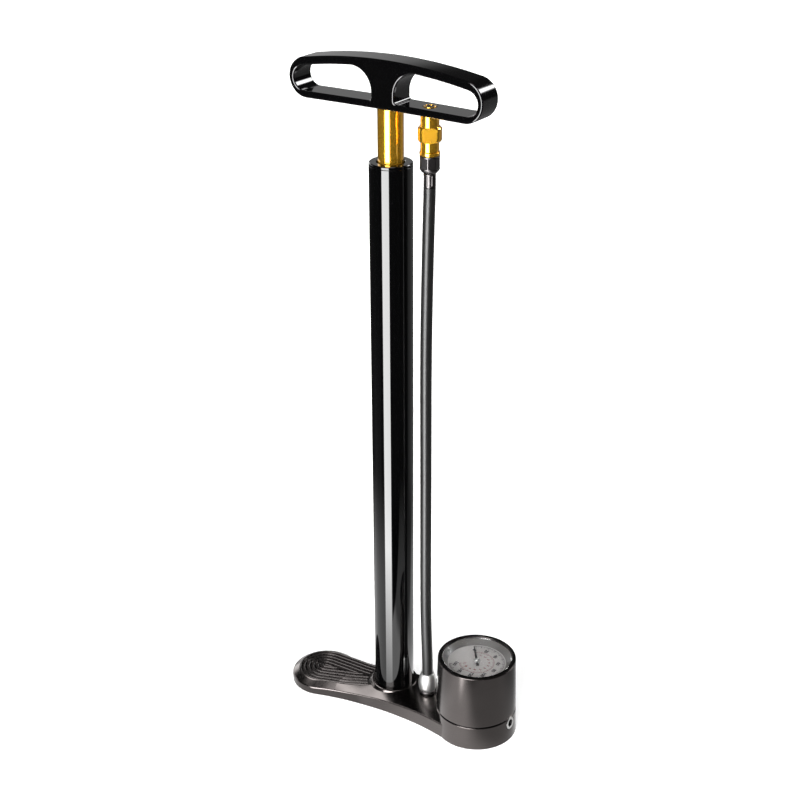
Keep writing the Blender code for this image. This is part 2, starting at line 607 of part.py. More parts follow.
def build_needle():
    gauge = (*GAUGE, 0.0)
    ahead = Vector((cos(NEEDLE_REST), sin(NEEDLE_REST)))
    across = Vector((-ahead.y, ahead.x))
    blade = [ahead * 23.5 + across * 0.3, -ahead * 7.5 + across * 1.3,
             -ahead * 7.5 - across * 1.3, ahead * 23.5 - across * 0.3]
    needle = plate("needle", [blade], 73.0, 73.6, "dark_grey", GAUGE)
    join(needle, turned("needle_hub", [(0.0, 75.0), (1.9, 75.0), (2.4, 74.5), (2.4, 72.2), (0.0, 72.2)],
                        at=gauge, segments=16))
    cut(needle, disc("needle_bore", 1.25, 70.0, 74.1, at=gauge, segments=12))


# ---------------------------------------------------------------- hose and chuck

def build_hose():
    fitting = (FITTING_X, 0.0, 0.0)
    turned("hose_adapter", [(1.5, 38.6), (3.0, 38.6), (3.0, 20.0), (7.4, 20.0), (8.0, 19.4), (8.0, 17.3),
                            (4.0, 17.3), (4.0, 11.6), (1.5, 11.6)], "dark_grey", fitting, 24)
    turned("hose_nut", [(3.3, NUT_TOP), (6.0, NUT_TOP), (6.4, 38.5), (7.6, 33.5), (8.3, 29.0), (8.5, 26.0),
                        (8.4, 23.5), (7.8, 21.0), (7.2, 20.3), (3.3, 20.3)], "silver", fitting, 24)
    route = smooth_rows([(x, 0.0, z) for x, z in HOSE_ROUTE], 2)
    tube("hose", route, HOSE_RADIUS, "rubber", resolution=3)


def build_chuck():
    chuck = (CHUCK_X, 0.0, 0.0)
    turned("hose_ferrule", [(0.0, 543.6), (4.7, 543.6), (5.1, 543.0), (5.1, 532.4), (4.7, HOSE_TOP + GAP),
                            (0.0, HOSE_TOP + GAP)], "dark_grey", chuck, 24)
    turned("hose_collar", [(0.0, 564.5), (4.4, 564.5), (4.4, 558.9), (8.0, 558.9), (8.55, 558.3),
                           (8.55, 547.6), (7.6, 546.0), (5.5, 543.9), (0.0, 543.9)], "dark_grey", chuck, 24)
    turned("chuck_body", [
        (3.9, 600.4), (5.0, 600.4), (5.5, 599.9), (5.5, 593.0), (6.3, 592.6), (6.3, 562.5), (8.2, 562.5),
        (8.65, 562.0), (8.65, 559.9), (8.0, 559.2), (4.8, 559.2), (4.8, 567.0), (1.5, 567.0), (1.5, 594.0),
        (3.9, 594.0)], "gold", chuck, 24)
    sleeve = turned("chuck_sleeve", [
        (7.3, 592.9), (7.9, 592.3), (7.9, 583.5), (9.0, 583.5), (10.2, 582.0), (10.2, 572.3),
        (9.0, 570.8), (7.9, 570.8), (7.9, 562.8), (6.6, 562.8), (6.6, 592.9)], "gold", chuck, 32)
    ahead = Vector((cos(SLEEVE_FLAT_ANGLE), sin(SLEEVE_FLAT_ANGLE)))
    across = Vector((-ahead.y, ahead.x)) * 15.0
    flats = []
    for side in (1, -1):
        near = ahead * SLEEVE_FLAT * side
        far = ahead * 20.0 * side
        corners = [near - across, near + across, far + across, far - across]
        flats.append(plate(f"sleeve_flat_{side + 2}", [corners], 565.0, 590.0, at=(CHUCK_X, 0.0)))
    cut(sleeve, *flats)
    ring("chuck_gasket_upper", 3.6, 1.9, 594.3, 600.1, "rubber", chuck, 20)
    ring("chuck_gasket_lower", 4.5, 1.8, 564.8, 566.7, "rubber", chuck, 20)


clear_scene()
PARTS = new_collection("floor_pump")
CUTTERS = new_collection("cutters")
build_base()
build_barrel()
build_check_valve()
build_plunger()
build_handle()
build_gauge_case()
build_gauge_movement()
build_needle()
build_hose()
build_chuck()
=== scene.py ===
"""Looks of the floor pump: fine pieces, materials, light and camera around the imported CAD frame.

Sizes are in millimetres unless a name says otherwise, and the helpers scale them to metres.
"""

import json
from math import cos, pi, radians, sin

import bmesh
import bpy
import numpy as np
from mathutils import Matrix, Vector


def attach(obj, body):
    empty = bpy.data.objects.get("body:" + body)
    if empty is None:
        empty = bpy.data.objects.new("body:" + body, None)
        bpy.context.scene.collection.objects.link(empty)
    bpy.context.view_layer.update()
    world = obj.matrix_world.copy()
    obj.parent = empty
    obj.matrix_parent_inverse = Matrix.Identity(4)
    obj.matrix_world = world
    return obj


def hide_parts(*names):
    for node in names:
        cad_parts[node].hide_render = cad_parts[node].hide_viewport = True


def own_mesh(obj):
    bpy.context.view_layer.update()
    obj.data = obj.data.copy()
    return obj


MM = 0.001
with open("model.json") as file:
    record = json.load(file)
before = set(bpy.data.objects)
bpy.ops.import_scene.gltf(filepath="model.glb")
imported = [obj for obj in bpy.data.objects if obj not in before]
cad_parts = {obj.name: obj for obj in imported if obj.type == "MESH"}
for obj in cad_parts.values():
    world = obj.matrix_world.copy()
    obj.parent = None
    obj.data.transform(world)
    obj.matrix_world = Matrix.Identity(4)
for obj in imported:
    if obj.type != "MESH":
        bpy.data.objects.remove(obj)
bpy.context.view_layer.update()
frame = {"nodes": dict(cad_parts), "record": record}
CAD_NODES = frame["nodes"]


def link(name, data):
    """New object of the scene."""
    thing = bpy.data.objects.new(name, data)
    bpy.context.scene.collection.objects.link(thing)
    return thing


# ---------------------------------------------------------------- camera

CAMERA_AZIMUTH = radians(34.219)
CAMERA_ELEVATION = radians(25.424)
CAMERA_ROLL = radians(-0.269)
CAMERA_DISTANCE = 1.34182       # metres
CAMERA_AIM = (0.006778, 0.32407)  # metres to the right of the barrel's axis, and above the floor
CAMERA_LENS = 66.34


def make_camera():
    """Camera in front of the pump, to its right and above."""
    flat = cos(CAMERA_ELEVATION)
    back = Vector((sin(CAMERA_AZIMUTH) * flat, -cos(CAMERA_AZIMUTH) * flat, sin(CAMERA_ELEVATION)))
    right = Vector((cos(CAMERA_AZIMUTH), sin(CAMERA_AZIMUTH), 0.0))
    up = back.cross(right)
    rolled_right = right * cos(CAMERA_ROLL) + up * sin(CAMERA_ROLL)
    rolled_up = up * cos(CAMERA_ROLL) - right * sin(CAMERA_ROLL)
    aim = right * CAMERA_AIM[0] + Vector((0.0, 0.0, CAMERA_AIM[1]))
    data = bpy.data.cameras.new("camera")
    data.sensor_width = 36.0
    data.lens = CAMERA_LENS
    camera = link("camera", data)
    turn = Matrix((rolled_right, rolled_up, back)).transposed().to_4x4()
    camera.matrix_world = Matrix.Translation(aim + back * CAMERA_DISTANCE) @ turn
    bpy.context.scene.camera = camera


# ---------------------------------------------------------------- materials

MATERIALS = {}
BROAD_GRAIN = 60.0              # noise scale of the slow change in colour
COAT_ROUGHNESS = 0.10


def finish(name, colour, metallic, roughness, roughness_change=0.04, grain=900.0, stretch=(1.0, 1.0, 1.0),
           colour_change=0.08, bump_depth=0.0, bump_scale=2500.0, coat=0.0):
    """Principled material whose colour, roughness and relief vary with noise in the pump's own frame.

    Noise scales are in features per metre, and bump_depth is in millimetres.
    """
    material = bpy.data.materials.new(name)
    material.use_nodes = True
    tree = material.node_tree
    shader = tree.nodes["Principled BSDF"]
    shader.inputs["Metallic"].default_value = metallic
    shader.inputs["Coat Weight"].default_value = coat
    shader.inputs["Coat Roughness"].default_value = COAT_ROUGHNESS
    place = tree.nodes.new("ShaderNodeTexCoord")
    mapping = tree.nodes.new("ShaderNodeMapping")
    mapping.inputs["Scale"].default_value = stretch
    tree.links.new(place.outputs["Object"], mapping.inputs["Vector"])

    fine = tree.nodes.new("ShaderNodeTexNoise")
    fine.inputs["Scale"].default_value = grain
    fine.inputs["Detail"].default_value = 3.0
    tree.links.new(mapping.outputs["Vector"], fine.inputs["Vector"])
    rough = tree.nodes.new("ShaderNodeMapRange")
    rough.inputs["To Min"].default_value = max(0.0, roughness - roughness_change)
    rough.inputs["To Max"].default_value = roughness + roughness_change
    tree.links.new(fine.outputs["Fac"], rough.inputs["Value"])
    tree.links.new(rough.outputs["Result"], shader.inputs["Roughness"])

    broad = tree.nodes.new("ShaderNodeTexNoise")
    broad.inputs["Scale"].default_value = BROAD_GRAIN
    broad.inputs["Detail"].default_value = 2.0
    tree.links.new(mapping.outputs["Vector"], broad.inputs["Vector"])
    blend = tree.nodes.new("ShaderNodeMix")
    blend.data_type = 'RGBA'
    low = [channel * (1.0 - colour_change) for channel in colour]
    high = [min(1.0, channel * (1.0 + colour_change)) for channel in colour]
    ends = [socket for socket in blend.inputs if socket.type == 'RGBA']
    for socket, shade in zip(ends, (low, high)):
        socket.default_value = (*shade, 1.0)
    tree.links.new(broad.outputs["Fac"], blend.inputs["Factor"])
    mixed = [socket for socket in blend.outputs if socket.type == 'RGBA'][0]
    tree.links.new(mixed, shader.inputs["Base Color"])

    if bump_depth > 0.0:
        relief = tree.nodes.new("ShaderNodeTexNoise")
        relief.inputs["Scale"].default_value = bump_scale
        relief.inputs["Detail"].default_value = 2.0
        tree.links.new(mapping.outputs["Vector"], relief.inputs["Vector"])
        bump = tree.nodes.new("ShaderNodeBump")
        bump.inputs["Strength"].default_value = 1.0
        bump.inputs["Distance"].default_value = bump_depth * MM
        tree.links.new(relief.outputs["Fac"], bump.inputs["Height"])
        tree.links.new(bump.outputs["Normal"], shader.inputs["Normal"])
    MATERIALS[name] = material
    return material


def make_materials():
    finish("gunmetal", (0.070, 0.063, 0.061), 1.0, 0.21, 0.03, 1400.0, bump_depth=0.0015)
    # darker copy of the gunmetal: painted shade for the paddle's ribs
    finish("gunmetal_painted_shade", (0.034, 0.031, 0.030), 1.0, 0.21, 0.03, 1400.0, bump_depth=0.0015)
    finish("gloss_black", (0.0006, 0.0006, 0.0007), 0.0, 0.045, 0.01, 300.0)
    finish("handle_black", (0.0008, 0.0008, 0.0009), 0.0, 0.09, 0.02, 900.0, bump_depth=0.0012)
    finish("gold", (0.78, 0.41, 0.025), 0.9, 0.19, 0.03, 700.0, (1.0, 1.0, 14.0), bump_depth=0.0012,
           coat=0.8)
    finish("silver", (0.68, 0.68, 0.67), 1.0, 0.42, 0.05, 700.0, (1.0, 1.0, 4.0), bump_depth=0.003)
    finish("brass", (0.72, 0.53, 0.22), 1.0, 0.30, 0.06, 900.0, bump_depth=0.004)
    finish("dark_grey", (0.085, 0.08, 0.08), 1.0, 0.36, 0.05, 900.0, bump_depth=0.002)
    finish("hose_black", (0.005, 0.005, 0.005), 0.0, 0.42, 0.05, 1200.0, bump_depth=0.003, bump_scale=1600.0)
    finish("rubber", (0.02, 0.02, 0.02), 0.0, 0.62, 0.08, 1500.0, bump_depth=0.01)
    finish("acetal", (0.78, 0.77, 0.73), 0.0, 0.42, 0.05, 900.0, bump_depth=0.004)
    finish("dial_face", (0.225, 0.214, 0.209), 0.0, 0.5, 0.05, 1600.0, bump_depth=0.003)
    finish("bezel_grey", (0.058, 0.055, 0.053), 0.0, 0.35, 0.06, 1200.0, bump_depth=0.004)
    # black print, also used as painted shade in the plug's socket
    finish("print_and_shade_black", (0.008, 0.008, 0.008), 0.0, 0.5, 0.05, 1200.0)
    finish("print_red", (0.10, 0.025, 0.022), 0.0, 0.5, 0.05, 1200.0)
    finish("needle_black", (0.02, 0.02, 0.021), 0.3, 0.35, 0.05, 1200.0)
    finish("spring_steel", (0.62, 0.62, 0.63), 1.0, 0.28, 0.05, 1500.0, bump_depth=0.003)
    lens = finish("clear", (0.98, 0.99, 0.99), 0.0, 0.015, 0.01, 400.0, colour_change=0.004)
    shader = lens.node_tree.nodes["Principled BSDF"]
    shader.inputs["Transmission Weight"].default_value = 1.0
    shader.inputs["IOR"].default_value = 1.47


# ---------------------------------------------------------------- mesh helpers

def add_object(name, mesh, material, body, replaces=()):
    """Show a mesh or curve as a piece that rides on a body, and may stand for CAD nodes."""
    piece = link(name, mesh)
    mesh.materials.clear()
    mesh.materials.append(MATERIALS[material])
    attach(piece, body)
    if replaces:
        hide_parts(*replaces)
    return piece


def to_mesh(name, shape):
    """Turn a bmesh into a mesh and free it."""
    mesh = bpy.data.meshes.new(name)
    shape.to_mesh(mesh)
    shape.free()
    return mesh


def mesh_of(thing):
    """Mesh of an object as its modifiers or its curve leave it; the object is removed."""
    bpy.context.view_layer.update()
    mesh = bpy.data.meshes.new_from_object(thing.evaluated_get(bpy.context.evaluated_depsgraph_get()))
    bpy.data.objects.remove(thing, do_unlink=True)
    return mesh


def smooth(mesh, angle=35.0):
    """Smooth shading, with edges sharper than the angle kept."""
    for face in mesh.polygons:
        face.use_smooth = True
    mesh.set_sharp_from_angle(angle=radians(angle))


def weigh_normals(piece):
    """Keep flat faces flat next to their rounded edges."""
    weights = piece.modifiers.new("Flat faces stay flat", 'WEIGHTED_NORMAL')
    weights.keep_sharp = True
    weights.weight = 100


def soften(profile, size, closed, steps=4):
    """Round the corners of a profile of (radius, height) points by up to the given size."""
    points = [Vector(point) for point in profile]
    count = len(points)
    result = []
    for i, corner in enumerate(points):
        if not closed and i in (0, count - 1):
            result.append(tuple(corner))
            continue
        before = points[i - 1] - corner
        after = points[(i + 1) % count] - corner
        turn = pi - before.angle(after)
        reach = min(size, 0.42 * before.length, 0.42 * after.length)
        if turn < radians(9.0):
            result.append(tuple(corner))
            continue
        start = corner + before.normalized() * reach
        end = corner + after.normalized() * reach
        for step in range(steps + 1):
            t = step / steps
            point = start * (1 - t) ** 2 + corner * 2 * t * (1 - t) + end * t ** 2
            result.append(tuple(point))
    return result


def lathe(name, profile, centre=(0.0, 0.0), rounding=0.3, segments=128, steps=4):
    """Mesh of a profile turned about Z, outer side first, as a closed body."""
    closed = profile[0][0] > 0.0
    points = soften(profile, rounding, closed, steps) if rounding > 0.0 else profile
    shape = bmesh.new()
    rings = []
    for radius, height in points:
        if radius <= 1e-6:
            rings.append([shape.verts.new((centre[0] * MM, centre[1] * MM, height * MM))])
            continue
        rings.append([shape.verts.new(((centre[0] + radius * cos(2 * pi * i / segments)) * MM,
                                       (centre[1] + radius * sin(2 * pi * i / segments)) * MM,
                                       height * MM)) for i in range(segments)])
    pairs = list(zip(rings, rings[1:]))
    if closed:
        pairs.append((rings[-1], rings[0]))
    for first, second in pairs:
        for i in range(segments):
            j = (i + 1) % segments
            if len(first) == 1:
                shape.faces.new((first[0], second[i], second[j]))
            elif len(second) == 1:
                shape.faces.new((first[i], second[0], first[j]))
            else:
                shape.faces.new((first[i], second[i], second[j], first[j]))
    bmesh.ops.recalc_face_normals(shape, faces=shape.faces)
    mesh = to_mesh(name, shape)
    smooth(mesh)
    return mesh


def turned(name, profile, material, body, replaces=(), centre=(0.0, 0.0), rounding=0.3,
           segments=128):
    """Piece turned about Z."""
    mesh = lathe(name, profile, centre, rounding, segments)
    piece = add_object(name, mesh, material, body, replaces)
    weigh_normals(piece)
    return piece


def ring_profile(outer, inner, low, high):
    return [(outer, high), (outer, low), (inner, low), (inner, high)]


def disc_profile(radius, low, high):
    return [(0.0, high), (radius, high), (radius, low), (0.0, low)]


def facing(centre, angle, near, far, half_width, low, high):
    """Block beyond a flat at the distance near from a centre, across the direction of the angle."""
    ahead = Vector((cos(angle), sin(angle)))
    across = Vector((-ahead.y, ahead.x)) * half_width
    start, end = Vector(centre) + ahead * near, Vector(centre) + ahead * far
    corners = [start - across, start + across, end + across, end - across]
    return plate_mesh("flat", [[tuple(corner) for corner in corners]], low, high)


def arc(centre, radius, start, end, count):
    angles = [start + (end - start) * i / (count - 1) for i in range(count)]
    return [(centre[0] + radius * cos(a), centre[1] + radius * sin(a)) for a in angles]


def plate_mesh(name, outlines, low, high, rounding=0.0, standing=False, steps=4):
    """Plate between two heights with rounded edges; standing puts it in XZ, with low and high along Y."""
    curve = bpy.data.curves.new(name, 'CURVE')
    curve.dimensions = '2D'
    curve.fill_mode = 'BOTH'
    curve.extrude = ((high - low) / 2 - rounding) * MM
    curve.bevel_depth = rounding * MM
    curve.bevel_resolution = steps
    curve.offset = -rounding * MM
    for outline in outlines:
        spline = curve.splines.new('POLY')
        spline.points.add(len(outline) - 1)
        for point, (x, y) in zip(spline.points, outline):
            point.co = (x * MM, y * MM, 0.0, 1.0)
        spline.use_cyclic_u = True
    mesh = mesh_of(link(name, curve))
    move = Matrix.Translation((0.0, 0.0, (low + high) / 2 * MM))
    if standing:
        move = Matrix.Translation((0.0, (low + high) / 2 * MM, 0.0)) @ Matrix.Rotation(pi / 2, 4, 'X')
    mesh.transform(move)
    shape = bmesh.new()
    shape.from_mesh(mesh)
    bmesh.ops.remove_doubles(shape, verts=shape.verts, dist=0.000002)
    bmesh.ops.recalc_face_normals(shape, faces=shape.faces)
    shape.to_mesh(mesh)
    shape.free()
    smooth(mesh)
    return mesh


def boolean(mesh, tools, operation):
    """Join meshes to one mesh, or cut them from it, and return the result as a mesh."""
    holder = link("boolean_holder", mesh)
    group = bpy.data.collections.new("boolean_tools")
    bpy.context.scene.collection.children.link(group)
    made = []
    for tool in tools:
        extra = bpy.data.objects.new("boolean_tool", tool)
        group.objects.link(extra)
        made.append(extra)
    modifier = holder.modifiers.new("Boolean", 'BOOLEAN')
    modifier.operation = operation
    modifier.operand_type = 'COLLECTION'
    modifier.collection = group
    modifier.solver = 'EXACT'
    result = mesh_of(holder)
    for extra in made:
        bpy.data.objects.remove(extra, do_unlink=True)
    bpy.data.collections.remove(group)
    smooth(result)
    return result


def smooth_rows(rows, steps):
    """Catmull-Rom curve through rows of numbers, with the given number of steps for each span."""
    known = np.array(rows, float)
    ends = np.vstack([2 * known[0] - known[1], known, 2 * known[-1] - known[-2]])
    result = []
    for i in range(1, len(ends) - 2):
        a, b, c, d = ends[i - 1:i + 3]
        for step in range(steps):
            t = step / steps
            result.append(0.5 * (2 * b + (c - a) * t + (2 * a - 5 * b + 4 * c - d) * t ** 2
                                 + (3 * b - a - 3 * c + d) * t ** 3))
    result.append(known[-1])
    return result


def sweep(shape, path, profile, heights, closed=False):
    """Add a ridge to a bmesh: the profile of (sideways, up) points carried along a path in XY."""
    points = [Vector(point) for point in path]
    count = len(points)
    rows = []
    for i, point in enumerate(points):
        before = points[i - 1] if closed or i > 0 else point
        after = points[(i + 1) % count] if closed or i < count - 1 else point
        came, goes = point - before, after - point
        first = (came if came.length > 1e-9 else goes).normalized()
        second = goes.normalized() if goes.length > 1e-9 else first
        along = (first + second).normalized()
        side = Vector((-along.y, along.x))
        widen = 1.0 / max(0.35, along.dot(first))
        rows.append([shape.verts.new(((point.x + side.x * across * widen) * MM,
                                      (point.y + side.y * across * widen) * MM,
                                      (heights[i] + rise) * MM)) for across, rise in profile])
    pairs = list(zip(rows, rows[1:]))
    if closed:
        pairs.append((rows[-1], rows[0]))
    width = len(profile)
    for first, second in pairs:
        for k in range(width):
            shape.faces.new((first[k], first[(k + 1) % width], second[(k + 1) % width], second[k]))
    if not closed:
        shape.faces.new(rows[0])
        shape.faces.new(rows[-1][::-1])


# ---------------------------------------------------------------- hose

FITTING = (39.3, 0.0)
CHUCK = (39.2, 0.0)
HOSE_RADIUS = 5.25
HOSE_ROUTE = [(39.3, 39.3), (39.2, 50.0), (38.6, 66.0), (37.8, 86.0), (37.1, 110.0), (36.8, 140.0),
              (36.65, 175.0), (36.6, 215.0), (36.5, 260.0), (36.35, 305.0), (36.2, 350.0), (36.4, 395.0),
              (37.0, 435.0), (37.7, 470.0), (38.4, 500.0), (39.0, 520.0), (39.2, 531.5)]


def make_hose():
    curve = bpy.data.curves.new("hose_tube", 'CURVE')
    curve.dimensions = '3D'
    curve.fill_mode = 'FULL'
    curve.bevel_depth = HOSE_RADIUS * MM
    curve.bevel_resolution = 10
    curve.use_fill_caps = True
    route = smooth_rows(HOSE_ROUTE, 5)
    spline = curve.splines.new('POLY')
    spline.points.add(len(route) - 1)
    for point, (x, z) in zip(spline.points, route):
        point.co = (x * MM, 0.0, z * MM, 1.0)
    spline.use_smooth = True
    return add_object("hose_tube", curve, "hose_black", "pump_body", ["hose"])


# ---------------------------------------------------------------- base

PADDLE_CENTRE = (-73.2, -17.4)
PADDLE_RADIUS = 33.1
PADDLE_TOP_RADIUS = 25.8
PADDLE_CREASE = 8.2
PADDLE_TOP = 13.0
DECK_TOP = 17.0
BOSS_TOP = 17.5
BOSS_RADIUS = 22.5
BASE_BOTTOM = 1.0
GAUGE = (95.0, 0.0)
GAUGE_TOP = 79.4
GAUGE_TOP_RADIUS = 37.0
GAUGE_FLOOR_RADIUS = 39.4
GAUGE_SPLIT = 25.0
FRONT_STATIONS = [
    (-50.3, -44.5, 9.2, -51.5, -34.9, PADDLE_TOP),
    (-31.6, -39.6, 10.2, -34.0, -26.8, PADDLE_TOP),
    (-12.2, -36.0, 12.0, -12.0, -19.5, 14.5),
    (7.6, -33.3, 13.2, 7.0, -15.6, DECK_TOP),
    (28.2, -32.1, 14.0, 28.0, -14.6, DECK_TOP),
    (49.5, -32.3, 14.8, 49.0, -15.8, DECK_TOP),
    (70.0, -34.4, 15.4, 70.0, -17.0, DECK_TOP),
    (95.0, -38.6, 15.6, 95.0, -18.0, DECK_TOP),
]
BACK_STATIONS = [
    (-52.0, 12.1, 9.0, -50.5, 7.5, PADDLE_TOP),
    (-37.0, 14.3, 10.0, -36.0, 9.6, PADDLE_TOP),
    (-12.0, 17.6, 12.0, -12.0, 13.2, 14.5),
    (9.0, 21.0, 13.2, 9.0, 16.2, DECK_TOP),
    (30.0, 25.2, 14.0, 30.0, 19.8, DECK_TOP),
    (50.0, 29.2, 14.8, 50.0, 23.4, DECK_TOP),
    (70.0, 33.6, 15.4, 70.0, 25.0, DECK_TOP),
    (95.0, 38.6, 15.6, 95.0, 26.0, DECK_TOP),
]
PADDLE_ARC = (radians(72.0), radians(286.0))
PASSAGE_MOUTH = (134.6, 18.6)
PASSAGE_SLOPE = 0.1
PLUG_RADIUS = 5.9
PLUG_KEY_RADIUS = 4.0
RIB_COUNT = 6
RIB_PITCH = 4.6
RIB_FIRST = 1.7
RIB_HALF_WIDTH = 1.15
RIB_RISE = 0.65
RIB_SINK = 0.9                  # how far a rib reaches into the paddle
RIB_REACH = 27.0                # the ribs stop at the boss, this far from the barrel's axis
BACK_LEG = radians(3.0)         # direction of the ribs' straight legs behind and in front
FRONT_LEG = radians(22.0)


def paddle_row(angle):
    direction = (cos(angle), sin(angle))
    outer = [PADDLE_CENTRE[i] + PADDLE_RADIUS * direction[i] for i in (0, 1)]
    top = [PADDLE_CENTRE[i] + PADDLE_TOP_RADIUS * direction[i] for i in (0, 1)]
    return (*outer, PADDLE_CREASE, *top, PADDLE_TOP)


def edge_rows():
    back = smooth_rows([paddle_row(PADDLE_ARC[0])] + BACK_STATIONS, 8)
    front = smooth_rows([paddle_row(PADDLE_ARC[1])] + FRONT_STATIONS, 8)
    return back, front


def base_plate_mesh():
    back, front = edge_rows()
    round_end = [paddle_row(a) for a in np.linspace(*PADDLE_ARC, 72)]
    spine = [((f[3] + b[3]) / 2, (f[4] + b[4]) / 2, f[5]) for f, b in zip(front, back)]
    spine[0] = (*PADDLE_CENTRE, PADDLE_TOP)
    rows = back[::-1] + round_end[1:-1] + front
    middles = spine[::-1] + [spine[0]] * len(round_end[1:-1]) + spine
    shape = bmesh.new()
    below = BASE_BOTTOM - 3.0
    rings = [
        [shape.verts.new((row[0] * MM, row[1] * MM, below * MM)) for row in rows],
        [shape.verts.new((row[0] * MM, row[1] * MM, row[2] * MM)) for row in rows],
        [shape.verts.new((row[3] * MM, row[4] * MM, row[5] * MM)) for row in rows],
        [shape.verts.new([value * MM for value in middle]) for middle in middles],
    ]
    count = len(rows)
    for low, high in zip(rings, rings[1:]):
        for i in range(count - 1):
            shape.faces.new((low[i], low[i + 1], high[i + 1], high[i]))
        if high is not rings[-1]:
            shape.faces.new((low[-1], low[0], high[0], high[-1]))
    shape.faces.new(rings[0][::-1])
    shape.faces.new((rings[2][-1], rings[2][0], rings[3][0], rings[3][-1]))
    bmesh.ops.remove_doubles(shape, verts=shape.verts, dist=0.000001)
    bmesh.ops.dissolve_degenerate(shape, edges=shape.edges, dist=0.000001)
    bmesh.ops.recalc_face_normals(shape, faces=shape.faces)
    edges = [edge for edge in shape.edges
             if len(edge.link_faces) == 2 and edge.calc_face_angle() > radians(18.0)
             and min(vertex.co.z for vertex in edge.verts) > 2.0 * MM]
    bmesh.ops.bevel(shape, geom=edges, offset=1.1 * MM, segments=4, profile=0.5, affect='EDGES')
    return to_mesh("base_fine", shape)


def rib_leg(point, way):
    """Straight part of a rib, from its end at the boss back to the given point."""
    length = 0.0
    while (point + way * length).length > RIB_REACH and length < 80.0:
        length += 0.25
    return [tuple(point + way * length * t) for t in np.linspace(1.0, 0.0, 16)]


def rib_path(number):
    """Centre line of a rib: a bend round the paddle and two legs, which may meet in a point."""
    radius = RIB_FIRST + RIB_PITCH * number
    if number == RIB_COUNT - 1:
        radius -= 0.5           # the outermost rib keeps clear of the edge
    bend = arc(PADDLE_CENTRE, radius, BACK_LEG + pi / 2, FRONT_LEG - pi / 2 + 2 * pi, 24 + 8 * number)
    back_point, front_point = Vector(bend[0]), Vector(bend[-1])
    back_way = Vector((cos(BACK_LEG), sin(BACK_LEG)))
    front_way = Vector((cos(FRONT_LEG), sin(FRONT_LEG)))
    cross = back_way.x * front_way.y - back_way.y * front_way.x
    gap = front_point - back_point
    length = (gap.x * front_way.y - gap.y * front_way.x) / cross
    apex = back_point + back_way * length
    closed = apex.length > RIB_REACH + 2.0 and apex.x < 0.0
    if closed:
        ahead = [tuple(apex + (back_point - apex) * t) for t in np.linspace(0.0, 1.0, 14)[:-1]]
        behind = [tuple(front_point + (apex - front_point) * t) for t in np.linspace(0.0, 1.0, 14)[1:-1]]
        return ahead + bend + behind, True
    return rib_leg(back_point, back_way)[:-1] + bend + rib_leg(front_point, front_way)[::-1][1:], False


def rib_mesh():
    """Raised ribs of the foot paddle: concentric round the paddle, then running towards the barrel."""
    front = edge_rows()[1]
    known_x = [row[3] for row in front]
    known_z = [row[5] for row in front]
    profile = [(RIB_HALF_WIDTH, -RIB_SINK)]
    profile += [(RIB_HALF_WIDTH * cos(a), RIB_RISE * sin(a)) for a in np.linspace(0.0, pi, 11)]
    profile.append((-RIB_HALF_WIDTH, -RIB_SINK))
    shape = bmesh.new()
    for number in range(RIB_COUNT):
        path, closed = rib_path(number)
        heights = [float(np.interp(x, known_x, known_z)) if x > known_x[0] else PADDLE_TOP for x, y in path]
        sweep(shape, path, profile, heights, closed)
    bmesh.ops.recalc_face_normals(shape, faces=shape.faces)
    mesh = to_mesh("paddle_ribs", shape)
    smooth(mesh, 50.0)
    return mesh


def on_passage(x):
    """Point on the centre line of the air passage, which slopes down from its mouth."""
    return Vector((x, 0.0, PASSAGE_MOUTH[1] - PASSAGE_SLOPE * (PASSAGE_MOUTH[0] - x)))


def rod_mesh(start, end, profile, segments=64):
    """Lathe mesh laid along the line from start to end; heights in the profile start at 0."""
    return laid_along(lathe("rod", profile, segments=segments), start, end)


def laid_along(mesh, start, end):
    """Turn a mesh from the Z axis to the line from start to end."""
    axis = Vector(end) - Vector(start)
    turn = axis.to_track_quat('Z', 'Y').to_matrix().to_4x4()
    mesh.transform(Matrix.Translation(Vector(start) * MM) @ turn)
    return mesh


FEET = {"foot_centre": ((0.0, 0.0), 17.0), "foot_paddle": (PADDLE_CENTRE, 22.0), "foot_gauge": (GAUGE, 30.0)}


def make_base():
    slope = (GAUGE_FLOOR_RADIUS - GAUGE_TOP_RADIUS) / GAUGE_TOP
    split = GAUGE_FLOOR_RADIUS - slope * GAUGE_SPLIT
    pedestal = lathe("pedestal", [(0.0, GAUGE_SPLIT), (split - 0.9, GAUGE_SPLIT), (split, GAUGE_SPLIT - 0.9),
                                  (GAUGE_FLOOR_RADIUS, 0.0), (0.0, 0.0)], GAUGE, 0.25, 160)
    boss = lathe("boss", [(0.0, BOSS_TOP), (BOSS_RADIUS, BOSS_TOP), (26.5, 11.0), (26.5, -0.5), (0.0, -0.5)],
                 (0.0, 0.0), 0.9, 128)
    base = boolean(base_plate_mesh(), [pedestal, boss], 'UNION')
    under = plate_mesh("under", [[(-300.0, -300.0), (300.0, -300.0), (300.0, 300.0), (-300.0, 300.0)]],
                       BASE_BOTTOM - 9.0, BASE_BOTTOM)
    tools = [under,
             lathe("socket", disc_profile(19.3, 8.0, 40.0), rounding=0.0),
             lathe("adapter_bore", disc_profile(4.3, 7.5, 40.0), FITTING, 0.0, 48)]
    for place, radius in FEET.values():
        tools.append(lathe("pocket", disc_profile(radius + 0.3, -5.0, 3.0), place, 0.0, 96))
    tools.append(rod_mesh(on_passage(126.5), on_passage(150.0), disc_profile(PLUG_RADIUS + 0.3, 0.0, 24.0)))
    base = boolean(base, tools, 'DIFFERENCE')
    weigh_normals(add_object("base_casting", base, "gunmetal", "pump_body", ["base"]))
    # the ribs take the darker copy of the gunmetal, painted shade on the same casting
    add_object("paddle_ribs", rib_mesh(), "gunmetal_painted_shade", "pump_body", [])
    for name, (place, radius) in FEET.items():
        turned(name + "_pad", disc_profile(radius, 0.0, 2.7), "rubber", "pump_body", [name], place,
               0.5, 96)


